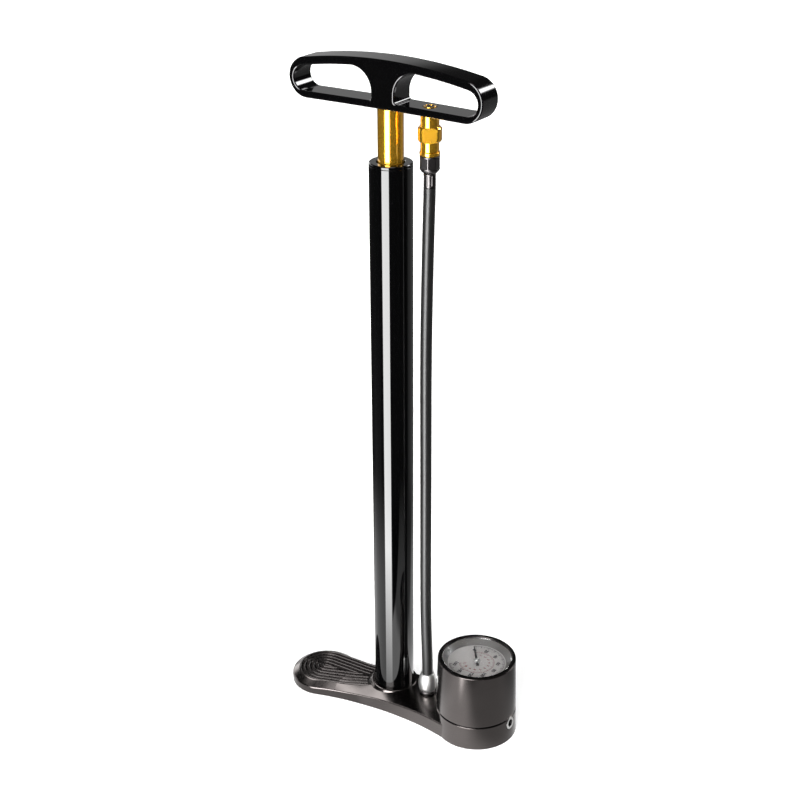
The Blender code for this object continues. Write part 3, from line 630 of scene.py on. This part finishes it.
def make_plug():
    """Plug with a hexagon socket in the end of the air passage; the socket's faces are painted black as
    painted shade in the recess.
    """
    start, end = on_passage(126.8), on_passage(133.6)
    plug = rod_mesh(start, end, [(0.0, 6.8), (PLUG_RADIUS, 6.8), (PLUG_RADIUS, 0.0), (0.0, 0.0)])
    key = lathe("key", disc_profile(PLUG_KEY_RADIUS, 0.0, 8.0), rounding=0.0, segments=6)
    plug = boolean(plug, [laid_along(key, on_passage(129.5), on_passage(140.0))], 'DIFFERENCE')
    piece = add_object("passage_plug_fine", plug, "silver", "pump_body", ["passage_plug"])
    # the black print material paints shade on the socket's faces
    plug.materials.append(MATERIALS["print_and_shade_black"])
    along = (on_passage(140.0) - start).normalized()
    for face in plug.polygons:
        offset = face.center / MM - start
        deep = offset.dot(along)
        if (offset - along * deep).length < PLUG_KEY_RADIUS + 0.05 and deep < 6.75:
            face.material_index = 1
    weigh_normals(piece)


# ---------------------------------------------------------------- barrel and plunger

def make_barrel():
    turned("barrel_tube", ring_profile(19.0, 17.2, 10.3, 544.6), "gloss_black", "pump_body", ["barrel"],
           rounding=0.35, segments=160)
    turned("barrel_cap_fine", [(12.3, 547.1), (12.8, 547.6), (18.2, 547.6), (19.0, 546.8), (19.0, 544.9),
                               (16.9, 544.9), (16.9, 522.0), (14.5, 522.0), (14.5, 541.0), (12.3, 541.0)],
           "gloss_black", "pump_body", ["barrel_cap"], rounding=0.35, segments=160)
    turned("rod_wiper_fine", ring_profile(14.2, 11.5, 536.0, 540.7), "rubber", "pump_body", ["rod_wiper"],
           segments=96)


def make_rod():
    turned("piston_rod_fine", ring_profile(11.2, 8.7, 40.3, 593.8), "gold", "plunger", ["piston_rod"],
           segments=128)
    turned("top_out_bumper_fine", ring_profile(14.6, 11.5, 40.6, 49.6), "rubber", "plunger",
           ["top_out_bumper"], rounding=1.0, segments=96)


HANDLE_BOTTOM = 594.1
HANDLE_TOP = 635.3
HANDLE_THICKNESS = 25.0
HANDLE_TOP_CURVE = 466.0
HANDLE_END = (79.1, 610.9)
HANDLE_END_RADIUS = 17.5
WINDOW_END = (80.8, 610.1)
WINDOW_END_RADIUS = 10.8
POST_HALF_WIDTH = 11.5


def handle_outline():
    lean = 0.171                # radians, where the top's curve meets the round end
    end = arc(HANDLE_END, HANDLE_END_RADIUS, -pi / 2, pi / 2 - lean, 40)
    centre = (0.0, HANDLE_TOP - HANDLE_TOP_CURVE)
    top = arc(centre, HANDLE_TOP_CURVE, pi / 2 - lean, pi / 2, 24)
    right = [(0.0, HANDLE_BOTTOM), (40.0, HANDLE_BOTTOM - 0.2)] + end + top[1:]
    left = [(-x, z) for x, z in right[1:-1]]
    return right + left[::-1]


def window_outline(side):
    """Hand window to one side: flat below, round at its outer end, a quarter round beside the post."""
    lean = 0.178
    corner = 2.5
    floor_inner = HANDLE_BOTTOM + 6.0
    quarter = 20.0
    quarter_centre = (POST_HALF_WIDTH + quarter, 607.2)
    top_radius = HANDLE_TOP_CURVE - 7.0
    top_centre = (0.0, HANDLE_TOP - HANDLE_TOP_CURVE)
    points = arc((POST_HALF_WIDTH + corner, floor_inner + corner), corner, pi, 1.5 * pi, 9)
    points += arc(WINDOW_END, WINDOW_END_RADIUS, -pi / 2, pi / 2 - lean, 32)
    points += arc(top_centre, top_radius, pi / 2 - lean, pi / 2 - quarter_centre[0] / top_radius, 16)[1:]
    points += arc(quarter_centre, quarter, pi / 2, pi, 22)[1:]
    return [(side * x, z) for x, z in points]


def make_handle():
    half = HANDLE_THICKNESS / 2
    outlines = [handle_outline(), window_outline(1), window_outline(-1)]
    body = plate_mesh("handle_fine", outlines, -half, half, 1.5, standing=True, steps=5)
    tools = [lathe("stud_bore", disc_profile(5.0, 580.0, 620.0), rounding=0.0, segments=48),
             lathe("dock", disc_profile(6.1, 580.0, 605.0), CHUCK, 0.0, 64),
             rod_mesh((0.0, 4.0, 609.0), (0.0, 20.0, 609.0), disc_profile(2.6, 0.0, 16.0), 48)]
    body = boolean(body, tools, 'DIFFERENCE')
    weigh_normals(add_object("handle_grip", body, "handle_black", "plunger", ["handle"]))


# ---------------------------------------------------------------- gauge

DIAL_TOP = 71.5
NEEDLE_REST = radians(128.0)
NEEDLE_SWEEP = radians(270.0)
PRINT_THICKNESS = 0.06
PRINT_HEIGHT = DIAL_TOP + 0.04


def text_mesh(words, size, centre):
    """Printed characters lying on the dial, with their tops towards the barrel's far side."""
    curve = bpy.data.curves.new("number", 'FONT')
    curve.body = words
    curve.size = size * MM
    curve.align_x = 'CENTER'
    curve.align_y = 'CENTER'
    curve.extrude = PRINT_THICKNESS / 2 * MM
    curve.offset = 0.05 * size * MM     # bolder
    curve.resolution_u = 3
    mesh = mesh_of(link("number", curve))
    mesh.transform(Matrix.Translation(Vector((centre[0], centre[1], PRINT_HEIGHT)) * MM)
                   @ Matrix.Rotation(-pi / 2, 4, 'Z'))
    return mesh


def joined(name, meshes):
    shape = bmesh.new()
    for mesh in meshes:
        shape.from_mesh(mesh)
    return to_mesh(name, shape)


def tick_mesh(radius_in, radius_out, angles, width):
    """Printed strokes that point to the dial's centre."""
    shape = bmesh.new()
    for angle in angles:
        along = Vector((cos(angle), sin(angle)))
        side = Vector((-along.y, along.x)) * width / 2
        corners = [along * radius_in - side, along * radius_out - side, along * radius_out + side,
                   along * radius_in + side]
        layers = [[shape.verts.new(((GAUGE[0] + c.x) * MM, (GAUGE[1] + c.y) * MM, z * MM)) for c in corners]
                  for z in (PRINT_HEIGHT - PRINT_THICKNESS / 2, PRINT_HEIGHT + PRINT_THICKNESS / 2)]
        shape.faces.new(layers[0][::-1])
        shape.faces.new(layers[1])
        for i in range(4):
            j = (i + 1) % 4
            shape.faces.new((layers[0][i], layers[0][j], layers[1][j], layers[1][i]))
    return to_mesh("ticks", shape)


def arc_mesh(radius, width, start, end, count=90):
    inner = arc(GAUGE, radius - width / 2, start, end, count)
    outer = arc(GAUGE, radius + width / 2, end, start, count)
    return plate_mesh("scale_line", [inner + outer], PRINT_HEIGHT - PRINT_THICKNESS / 2,
                      PRINT_HEIGHT + PRINT_THICKNESS / 2)


def scale_mesh(name, steps, numbers, line, widths, reaches, size, ring):
    """Printed scale: fine ticks, a longer mark at every fifth, a line round them and numbers inside.

    line is the line's radius and width, widths those of ticks and marks, reaches the inner radii of
    ticks and marks and their common outer radius; size and ring are the numbers' size and radius.
    """
    def place(share):
        return NEEDLE_REST - NEEDLE_SWEEP * share

    ticks = [place(i / steps) for i in range(steps + 1) if i % 5]
    marks = [place(i / steps) for i in range(0, steps + 1, 5)]
    meshes = [tick_mesh(reaches[0], reaches[2], ticks, widths[0]),
              tick_mesh(reaches[1], reaches[2], marks, widths[1]),
              arc_mesh(*line, place(0.0), place(1.0))]
    for i, number in enumerate(numbers):
        angle = place(i / (len(numbers) - 1))
        centre = (GAUGE[0] + ring * cos(angle), GAUGE[1] + ring * sin(angle))
        meshes.append(text_mesh(str(number), size, centre))
    return joined(name, meshes)


def make_dial():
    """Light grey face with two generic scales, one black and one red."""
    turned("dial_face_plate", ring_profile(32.9, 1.6, DIAL_TOP - 0.9, DIAL_TOP), "dial_face", "pump_body",
           ["dial_plate"], GAUGE, 0.1, 128)
    outer = scale_mesh("dial_scale_outer", 80, range(0, 180, 20), (26.3, 0.3), (0.26, 0.6),
                       (24.6, 23.6, 26.2), 4.8, 20.2)
    inner = scale_mesh("dial_scale_inner", 55, range(12), (16.7, 0.25), (0.22, 0.5),
                       (15.3, 14.6, 16.6), 3.2, 11.8)
    add_object("dial_scale_outer", outer, "print_and_shade_black", "pump_body", [])
    add_object("dial_scale_inner", inner, "print_red", "pump_body", [])


def make_gauge():
    low = GAUGE_SPLIT + 0.3
    slope = (GAUGE_FLOOR_RADIUS - GAUGE_TOP_RADIUS) / GAUGE_TOP
    low_radius = GAUGE_FLOOR_RADIUS - slope * low
    turned("gauge_case", [(33.4, GAUGE_TOP), (GAUGE_TOP_RADIUS, GAUGE_TOP), (low_radius, low + 0.9),
                          (low_radius - 0.9, low), (5.4, low), (5.4, 28.3), (33.4, 28.3)],
           "gunmetal", "pump_body", ["gauge_housing"], GAUGE, 0.5, 192)
    turned("bezel_cone", [(33.1, 76.1), (33.1, DIAL_TOP + 0.3), (27.7, DIAL_TOP + 0.3), (32.4, 76.1)],
           "bezel_grey", "pump_body", ["bezel_ring"], GAUGE, 0.1, 128)
    lens = turned("gauge_glass", [(0.0, 79.2), (32.2, 79.2), (33.1, 78.3), (33.1, 76.4), (0.0, 76.4)],
                  "clear", "pump_body", ["gauge_lens"], GAUGE, 0.25, 128)
    lens.visible_shadow = False
    make_dial()


def make_needle():
    ahead = Vector((cos(NEEDLE_REST), sin(NEEDLE_REST)))
    across = Vector((-ahead.y, ahead.x))
    centre = Vector(GAUGE)
    blade = [centre + ahead * 23.5 + across * 0.45, centre + ahead * 4.0 + across * 1.0,
             centre - ahead * 7.5 + across * 1.4, centre - ahead * 7.5 - across * 1.4,
             centre + ahead * 4.0 - across * 1.0, centre + ahead * 23.5 - across * 0.45]
    mesh = plate_mesh("needle_blade", [[tuple(point) for point in blade]], 73.0, 73.6)
    weigh_normals(add_object("needle_pointer", mesh, "needle_black", "needle", ["needle"]))
    turned("needle_cap", [(0.0, 75.0), (2.4, 75.0), (2.4, 72.2), (0.0, 72.2)], "silver", "needle", [],
           GAUGE, 0.5, 64)


# ---------------------------------------------------------------- fitting and chuck

def make_fitting():
    turned("hose_nut_fine", [(5.4, 39.0), (6.3, 39.0), (6.8, 38.2), (8.1, 34.0), (8.7, 30.5), (8.8, 27.0),
                             (8.7, 23.5), (8.1, 21.0), (7.4, 20.3), (3.3, 20.3), (3.3, 38.6)],
           "silver", "pump_body", ["hose_nut"], FITTING, 0.5)
    turned("hose_adapter_fine", [(1.5, 38.4), (3.0, 38.4), (3.0, 20.0), (7.4, 20.0), (8.0, 19.4), (8.0, 17.3),
                                 (4.0, 17.3), (4.0, 11.6), (1.5, 11.6)], "dark_grey", "pump_body",
           ["hose_adapter"], FITTING, 0.3)


SLEEVE_FLATS = -59.0            # degrees, the way the front one of two spanner flats faces


def add_to_cord(name, mesh, material, body, node):
    """Piece on the hose's end, riding on the given body in place of a CAD node."""
    piece = add_object(name, mesh, material, body, [node])
    weigh_normals(piece)


def make_chuck():
    ferrule = lathe("ferrule", [(0.0, 543.6), (5.25, 543.6), (5.25, 531.8), (0.0, 531.8)], CHUCK, 0.5, 96)
    slots = []
    for turn in range(8):
        angle = radians(45.0 * turn - 40.0)
        middle = Vector(CHUCK) + Vector((cos(angle), sin(angle))) * 5.55
        slots.append(plate_mesh("slot", [arc(middle, 0.85, 0.0, 2 * pi, 17)[:-1]], 533.4, 542.6))
    add_to_cord("hose_ferrule_fine", boolean(ferrule, slots, 'DIFFERENCE'), "dark_grey", "pump_body",
                "hose_ferrule")
    collar = lathe("collar", [(0.0, 564.5), (4.4, 564.5), (4.4, 558.9), (8.55, 558.9), (8.55, 547.6),
                              (7.6, 546.0), (5.5, 543.9), (0.0, 543.9)], CHUCK, 0.4, 96)
    facets = [facing(CHUCK, radians(45.0 * turn - 46.0), 8.02, 14.0, 8.0, 548.4, 557.6) for turn in range(8)]
    collar = boolean(collar, facets, 'DIFFERENCE')
    smooth(collar, 20.0)
    add_to_cord("hose_collar_fine", collar, "dark_grey", "pump_body", "hose_collar")
    body = lathe("body", [
        (3.9, 600.4), (5.5, 600.4), (5.5, 593.0), (6.3, 592.6), (6.3, 562.5), (8.65, 562.5),
        (8.65, 559.7), (8.0, 559.2), (4.8, 559.2), (4.8, 567.0), (1.5, 567.0), (1.5, 594.0),
        (3.9, 594.0)], CHUCK, 0.5, 128)
    add_to_cord("chuck_body_fine", body, "gold", "chuck", "chuck_body")
    sleeve = lathe("sleeve", [
        (6.6, 592.9), (7.9, 592.9), (7.9, 583.5), (9.0, 583.5), (10.2, 582.0), (10.2, 572.3),
        (9.0, 570.8), (7.9, 570.8), (7.9, 562.8), (6.6, 562.8)], CHUCK, 0.4, 128)
    flats = [facing(CHUCK, radians(SLEEVE_FLATS + turn), 8.1, 20.0, 15.0, 565.0, 590.0)
             for turn in (0.0, 180.0)]
    add_to_cord("chuck_sleeve_fine", boolean(sleeve, flats, 'DIFFERENCE'), "gold", "chuck", "chuck_sleeve")


# ---------------------------------------------------------------- check valve's spring

SPRING_LOW, SPRING_HIGH, SPRING_FIXED = 7.95, 12.15, 7.73
SPRING_TURNS, SPRING_RADIUS, SPRING_WIRE = 4.0, 2.2, 0.22


def make_valve_spring():
    """Coil of the check valve's spring, built at one length."""
    shape = bmesh.new()
    steps, sides = int(SPRING_TURNS * 24), 10
    rings = []
    for i in range(steps + 1):
        turn = 2 * pi * SPRING_TURNS * i / steps
        level = SPRING_LOW + (SPRING_HIGH - SPRING_LOW) * i / steps
        ring = []
        for k in range(sides):
            around = 2 * pi * k / sides
            reach = SPRING_RADIUS + SPRING_WIRE * cos(around)
            ring.append(shape.verts.new((reach * cos(turn) * MM, reach * sin(turn) * MM,
                                         (level + SPRING_WIRE * sin(around)) * MM)))
        rings.append(ring)
    for first, second in zip(rings, rings[1:]):
        for k in range(sides):
            shape.faces.new((first[k], second[k], second[(k + 1) % sides], first[(k + 1) % sides]))
    shape.faces.new(rings[0])
    shape.faces.new(rings[-1][::-1])
    bmesh.ops.recalc_face_normals(shape, faces=shape.faces)
    mesh = to_mesh("valve_spring", shape)
    smooth(mesh)
    spring = add_object("valve_spring", mesh, "spring_steel", "pump_body", ["check_valve_spring"])
    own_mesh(spring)


# ---------------------------------------------------------------- CAD nodes that stay

def dress_cad_nodes():
    """Give every CAD node the material of its slot's name."""
    slots = {row["node"]: row["material_slot"] for row in frame["record"]["subparts"]}
    for name, node in CAD_NODES.items():
        node.data.materials.clear()
        node.data.materials.append(MATERIALS["dial_face" if slots[name] == "dial_print" else slots[name]])


# ---------------------------------------------------------------- studio

FLOOR_SIZE = 20.0               # metres, half the floor's side
FLOOR_GLOW = 0.55               # fills the shadows on the floor
BACKDROP_RADIUS = 30.0


def grid(size, height=0.0):
    """Square in a bmesh, with the given half side and height in metres."""
    shape = bmesh.new()
    bmesh.ops.create_grid(shape, x_segments=2, y_segments=2, size=size)
    bmesh.ops.translate(shape, verts=shape.verts, vec=(0.0, 0.0, height))
    return shape


def studio_object(name, shape, material, hidden_from):
    """Part of the studio that some kinds of rays don't see."""
    mesh = to_mesh(name, shape)
    mesh.materials.append(material)
    thing = link(name, mesh)
    for rays in hidden_from:
        setattr(thing, "visible_" + rays, False)
    return thing


NOT_REFLECTED = ("diffuse", "glossy", "transmission", "volume_scatter", "shadow")
REFLECTED_ONLY = ("camera", "diffuse", "transmission", "volume_scatter", "shadow")


def glow_material(name):
    """Material that emits and lets light through: it, its tree, and its two shaders."""
    material = bpy.data.materials.new(name)
    material.use_nodes = True
    material.cycles.emission_sampling = 'NONE'
    tree = material.node_tree
    tree.nodes.clear()
    glow = tree.nodes.new("ShaderNodeEmission")
    clear = tree.nodes.new("ShaderNodeBsdfTransparent")
    both = tree.nodes.new("ShaderNodeAddShader")
    tree.links.new(glow.outputs["Emission"], both.inputs[0])
    tree.links.new(clear.outputs["BSDF"], both.inputs[1])
    output = tree.nodes.new("ShaderNodeOutputMaterial")
    tree.links.new(both.outputs["Shader"], output.inputs["Surface"])
    return material, tree, glow, clear


def make_floor():
    paint = finish("floor_white", (0.86, 0.86, 0.855), 0.0, 0.7, 0.05, 20.0, colour_change=0.003)
    shader = paint.node_tree.nodes["Principled BSDF"]
    shader.inputs["Emission Color"].default_value = (1.0, 1.0, 1.0, 1.0)
    shader.inputs["Emission Strength"].default_value = FLOOR_GLOW
    floor = studio_object("studio_floor", grid(FLOOR_SIZE, -0.0003), paint, ("glossy",))


def make_backdrop():
    """White all round, seen by the camera alone."""
    white, tree, glow, clear = glow_material("backdrop_white")
    glow.inputs["Color"].default_value = (1.0, 1.0, 1.0, 1.0)
    clear.inputs["Color"].default_value = (0.0, 0.0, 0.0, 1.0)
    shape = bmesh.new()
    bmesh.ops.create_icosphere(shape, subdivisions=3, radius=BACKDROP_RADIUS)
    backdrop = studio_object("studio_backdrop", shape, white, NOT_REFLECTED)


def number_nodes(tree):
    """Two helpers that add nodes to a tree: any Math node, and a soft step from 0 to 1."""
    def math(operation, *values, clamp=False):
        node = tree.nodes.new("ShaderNodeMath")
        node.operation = operation
        node.use_clamp = clamp
        for socket, value in zip(node.inputs, values):
            if isinstance(value, (int, float)):
                socket.default_value = value
            else:
                tree.links.new(value, socket)
        return node.outputs[0]

    def rise(value, middle, softness):
        node = tree.nodes.new("ShaderNodeMapRange")
        node.interpolation_type = 'SMOOTHSTEP'
        node.inputs["From Min"].default_value = middle - softness / 2
        node.inputs["From Max"].default_value = middle + softness / 2
        tree.links.new(value, node.inputs["Value"])
        return node.outputs["Result"]

    return math, rise


TABLE_GLOW = 1.25               # brightness of the lit table near the pump
TABLE_NEAR, TABLE_FAR = 0.18, 0.52  # metres from the barrel's axis over which the glow fades out
TABLE_MIDDLE, TABLE_RIGHT, TABLE_BEHIND = 0.8, -0.68, -0.6     # changes of the glow in these regions
STRIP_AZIMUTH = 3.6             # degrees, direction of the main strip light from the pump


def make_table():
    """Lit table top as the glossy surfaces see it: bright near the pump, and open further out."""
    material, tree, glow, clear = glow_material("table_glow")
    math, rise = number_nodes(tree)
    place = tree.nodes.new("ShaderNodeTexCoord")
    split = tree.nodes.new("ShaderNodeSeparateXYZ")
    tree.links.new(place.outputs["Object"], split.inputs["Vector"])
    x, y = split.outputs["X"], split.outputs["Y"]
    away = math('SQRT', math('ADD', math('POWER', x, 2.0), math('POWER', y, 2.0)))
    azimuth = math('ARCTAN2', x, math('MULTIPLY', y, -1.0))
    strength = math('SUBTRACT', 1.0, rise(away, (TABLE_NEAR + TABLE_FAR) / 2, TABLE_FAR - TABLE_NEAR))
    for change, region in ((TABLE_MIDDLE, rise(x, 0.01, 0.06)), (TABLE_RIGHT, rise(x, 0.125, 0.05)),
                           (TABLE_BEHIND, rise(y, 0.06, 0.10))):
        strength = math('MULTIPLY', strength, math('ADD', 1.0, math('MULTIPLY', region, change)))
    front_right = math('MULTIPLY', rise(azimuth, radians(26.0), radians(8.0)),
                       math('SUBTRACT', 1.0, rise(y, -0.15, 0.02)))
    strength = math('MULTIPLY', strength, math('SUBTRACT', 1.0, front_right))
    tree.links.new(math('MULTIPLY', strength, TABLE_GLOW), glow.inputs["Strength"])
    aside = math('ABSOLUTE', math('SUBTRACT', azimuth, radians(STRIP_AZIMUTH)))
    open_way = math('MAXIMUM', math('SUBTRACT', 1.0, rise(aside, radians(25.0), radians(10.0))),
                    rise(away, 0.42, 0.2))
    through = math('MULTIPLY', math('POWER', math('DIVIDE', away, 0.31, clamp=True), 1.2), open_way)
    tree.links.new(through, clear.inputs["Color"])
    table = studio_object("studio_table", grid(0.7, -0.0008), material, REFLECTED_ONLY)


def make_panel(name, place, brightness, underside=False):
    """Soft-edged light two units wide, set down by a matrix; it may shine from its underside alone."""
    material, tree, glow, clear = glow_material(name + "_glow")
    math, rise = number_nodes(tree)
    where = tree.nodes.new("ShaderNodeTexCoord")
    split = tree.nodes.new("ShaderNodeSeparateXYZ")
    tree.links.new(where.outputs["Object"], split.inputs["Vector"])
    sideways = math('SUBTRACT', 1.0, rise(math('ABSOLUTE', split.outputs["X"]), 0.7, 0.6))
    upright = math('SUBTRACT', 1.0, rise(math('ABSOLUTE', split.outputs["Y"]), 0.75, 0.5))
    strength = math('MULTIPLY', math('MULTIPLY', sideways, upright), brightness)
    if underside:
        side = tree.nodes.new("ShaderNodeNewGeometry")
        strength = math('MULTIPLY', strength, side.outputs["Backfacing"])
    tree.links.new(strength, glow.inputs["Strength"])
    panel = studio_object(name, grid(1.0), material, REFLECTED_ONLY)
    panel.matrix_world = place


def make_near_lights():
    """An upright light behind the handle and a level one beside the base, where the distance matters."""
    azimuth, distance = radians(212.0), 0.45
    make_panel("studio_rear_light",
               Matrix.Translation((distance * sin(azimuth), -distance * cos(azimuth), 0.69))
               @ Matrix.Rotation(azimuth, 4, 'Z') @ Matrix.Rotation(pi / 2, 4, 'X')
               @ Matrix.Diagonal((0.36, 0.12, 1.0, 1.0)), 0.42)
    make_panel("studio_side_light",
               Matrix.Translation((-0.30, 0.07, 0.45)) @ Matrix.Diagonal((0.13, 0.30, 1.0, 1.0)), 8.0,
               underside=True)


# Light panels of the studio: middle azimuth, half width, edge softness, lowest and highest elevation,
# edge softness in elevation (all in degrees), and brightness. Azimuth 0 is in front of the pump.
PANELS = [
    (STRIP_AZIMUTH, 19.1, 1.5, -70.0, 42.0, 6.0, 18.0),
    (165.0, 35.0, 16.0, -90.0, -3.0, 6.0, 0.22),
    (150.0, 11.0, 5.0, 21.0, 38.0, 5.0, 18.0),
    (34.0, 60.0, 20.0, 72.0, 88.0, 6.0, 4.0),
    (-98.0, 26.0, 12.0, 2.0, 18.0, 6.0, 5.0),
    (-60.0, 26.0, 20.0, -80.0, -28.0, 20.0, 0.2),
]
AMBIENT = 0.03


def make_world():
    world = bpy.data.worlds.new("studio")
    bpy.context.scene.world = world
    world.use_nodes = True
    tree = world.node_tree
    tree.nodes.clear()

    math, rise = number_nodes(tree)
    place = tree.nodes.new("ShaderNodeTexCoord")
    split = tree.nodes.new("ShaderNodeSeparateXYZ")
    tree.links.new(place.outputs["Generated"], split.inputs["Vector"])
    azimuth = math('MULTIPLY', math('ARCTAN2', split.outputs["X"], math('MULTIPLY', split.outputs["Y"], -1.0)),
                   180.0 / pi)
    elevation = math('MULTIPLY', math('ARCSINE', split.outputs["Z"]), 180.0 / pi)
    total = AMBIENT
    for middle, half, softness, low, high, edge, brightness in PANELS:
        away = math('ABSOLUTE', math('WRAP', math('SUBTRACT', azimuth, middle), 180.0, -180.0))
        sideways = math('SUBTRACT', 1.0, rise(away, half, softness))
        upright = math('SUBTRACT', rise(elevation, low, edge), rise(elevation, high, edge))
        panel = math('MULTIPLY', math('MULTIPLY', sideways, upright), brightness)
        total = math('ADD', panel, total)
    background = tree.nodes.new("ShaderNodeBackground")
    tree.links.new(total, background.inputs["Strength"])
    background.inputs["Color"].default_value = (1.0, 1.0, 1.0, 1.0)
    output = tree.nodes.new("ShaderNodeOutputWorld")
    tree.links.new(background.outputs["Background"], output.inputs["Surface"])
    scene = bpy.context.scene
    scene.view_settings.view_transform = 'Standard'
    scene.view_settings.look = 'None'


make_camera()
make_materials()
hose_piece = make_hose()
make_base()
make_plug()
make_barrel()
make_rod()
make_handle()
make_gauge()
make_needle()
make_fitting()
make_chuck()
make_valve_spring()
dress_cad_nodes()
make_floor()
make_backdrop()
make_table()
make_near_lights()
make_world()
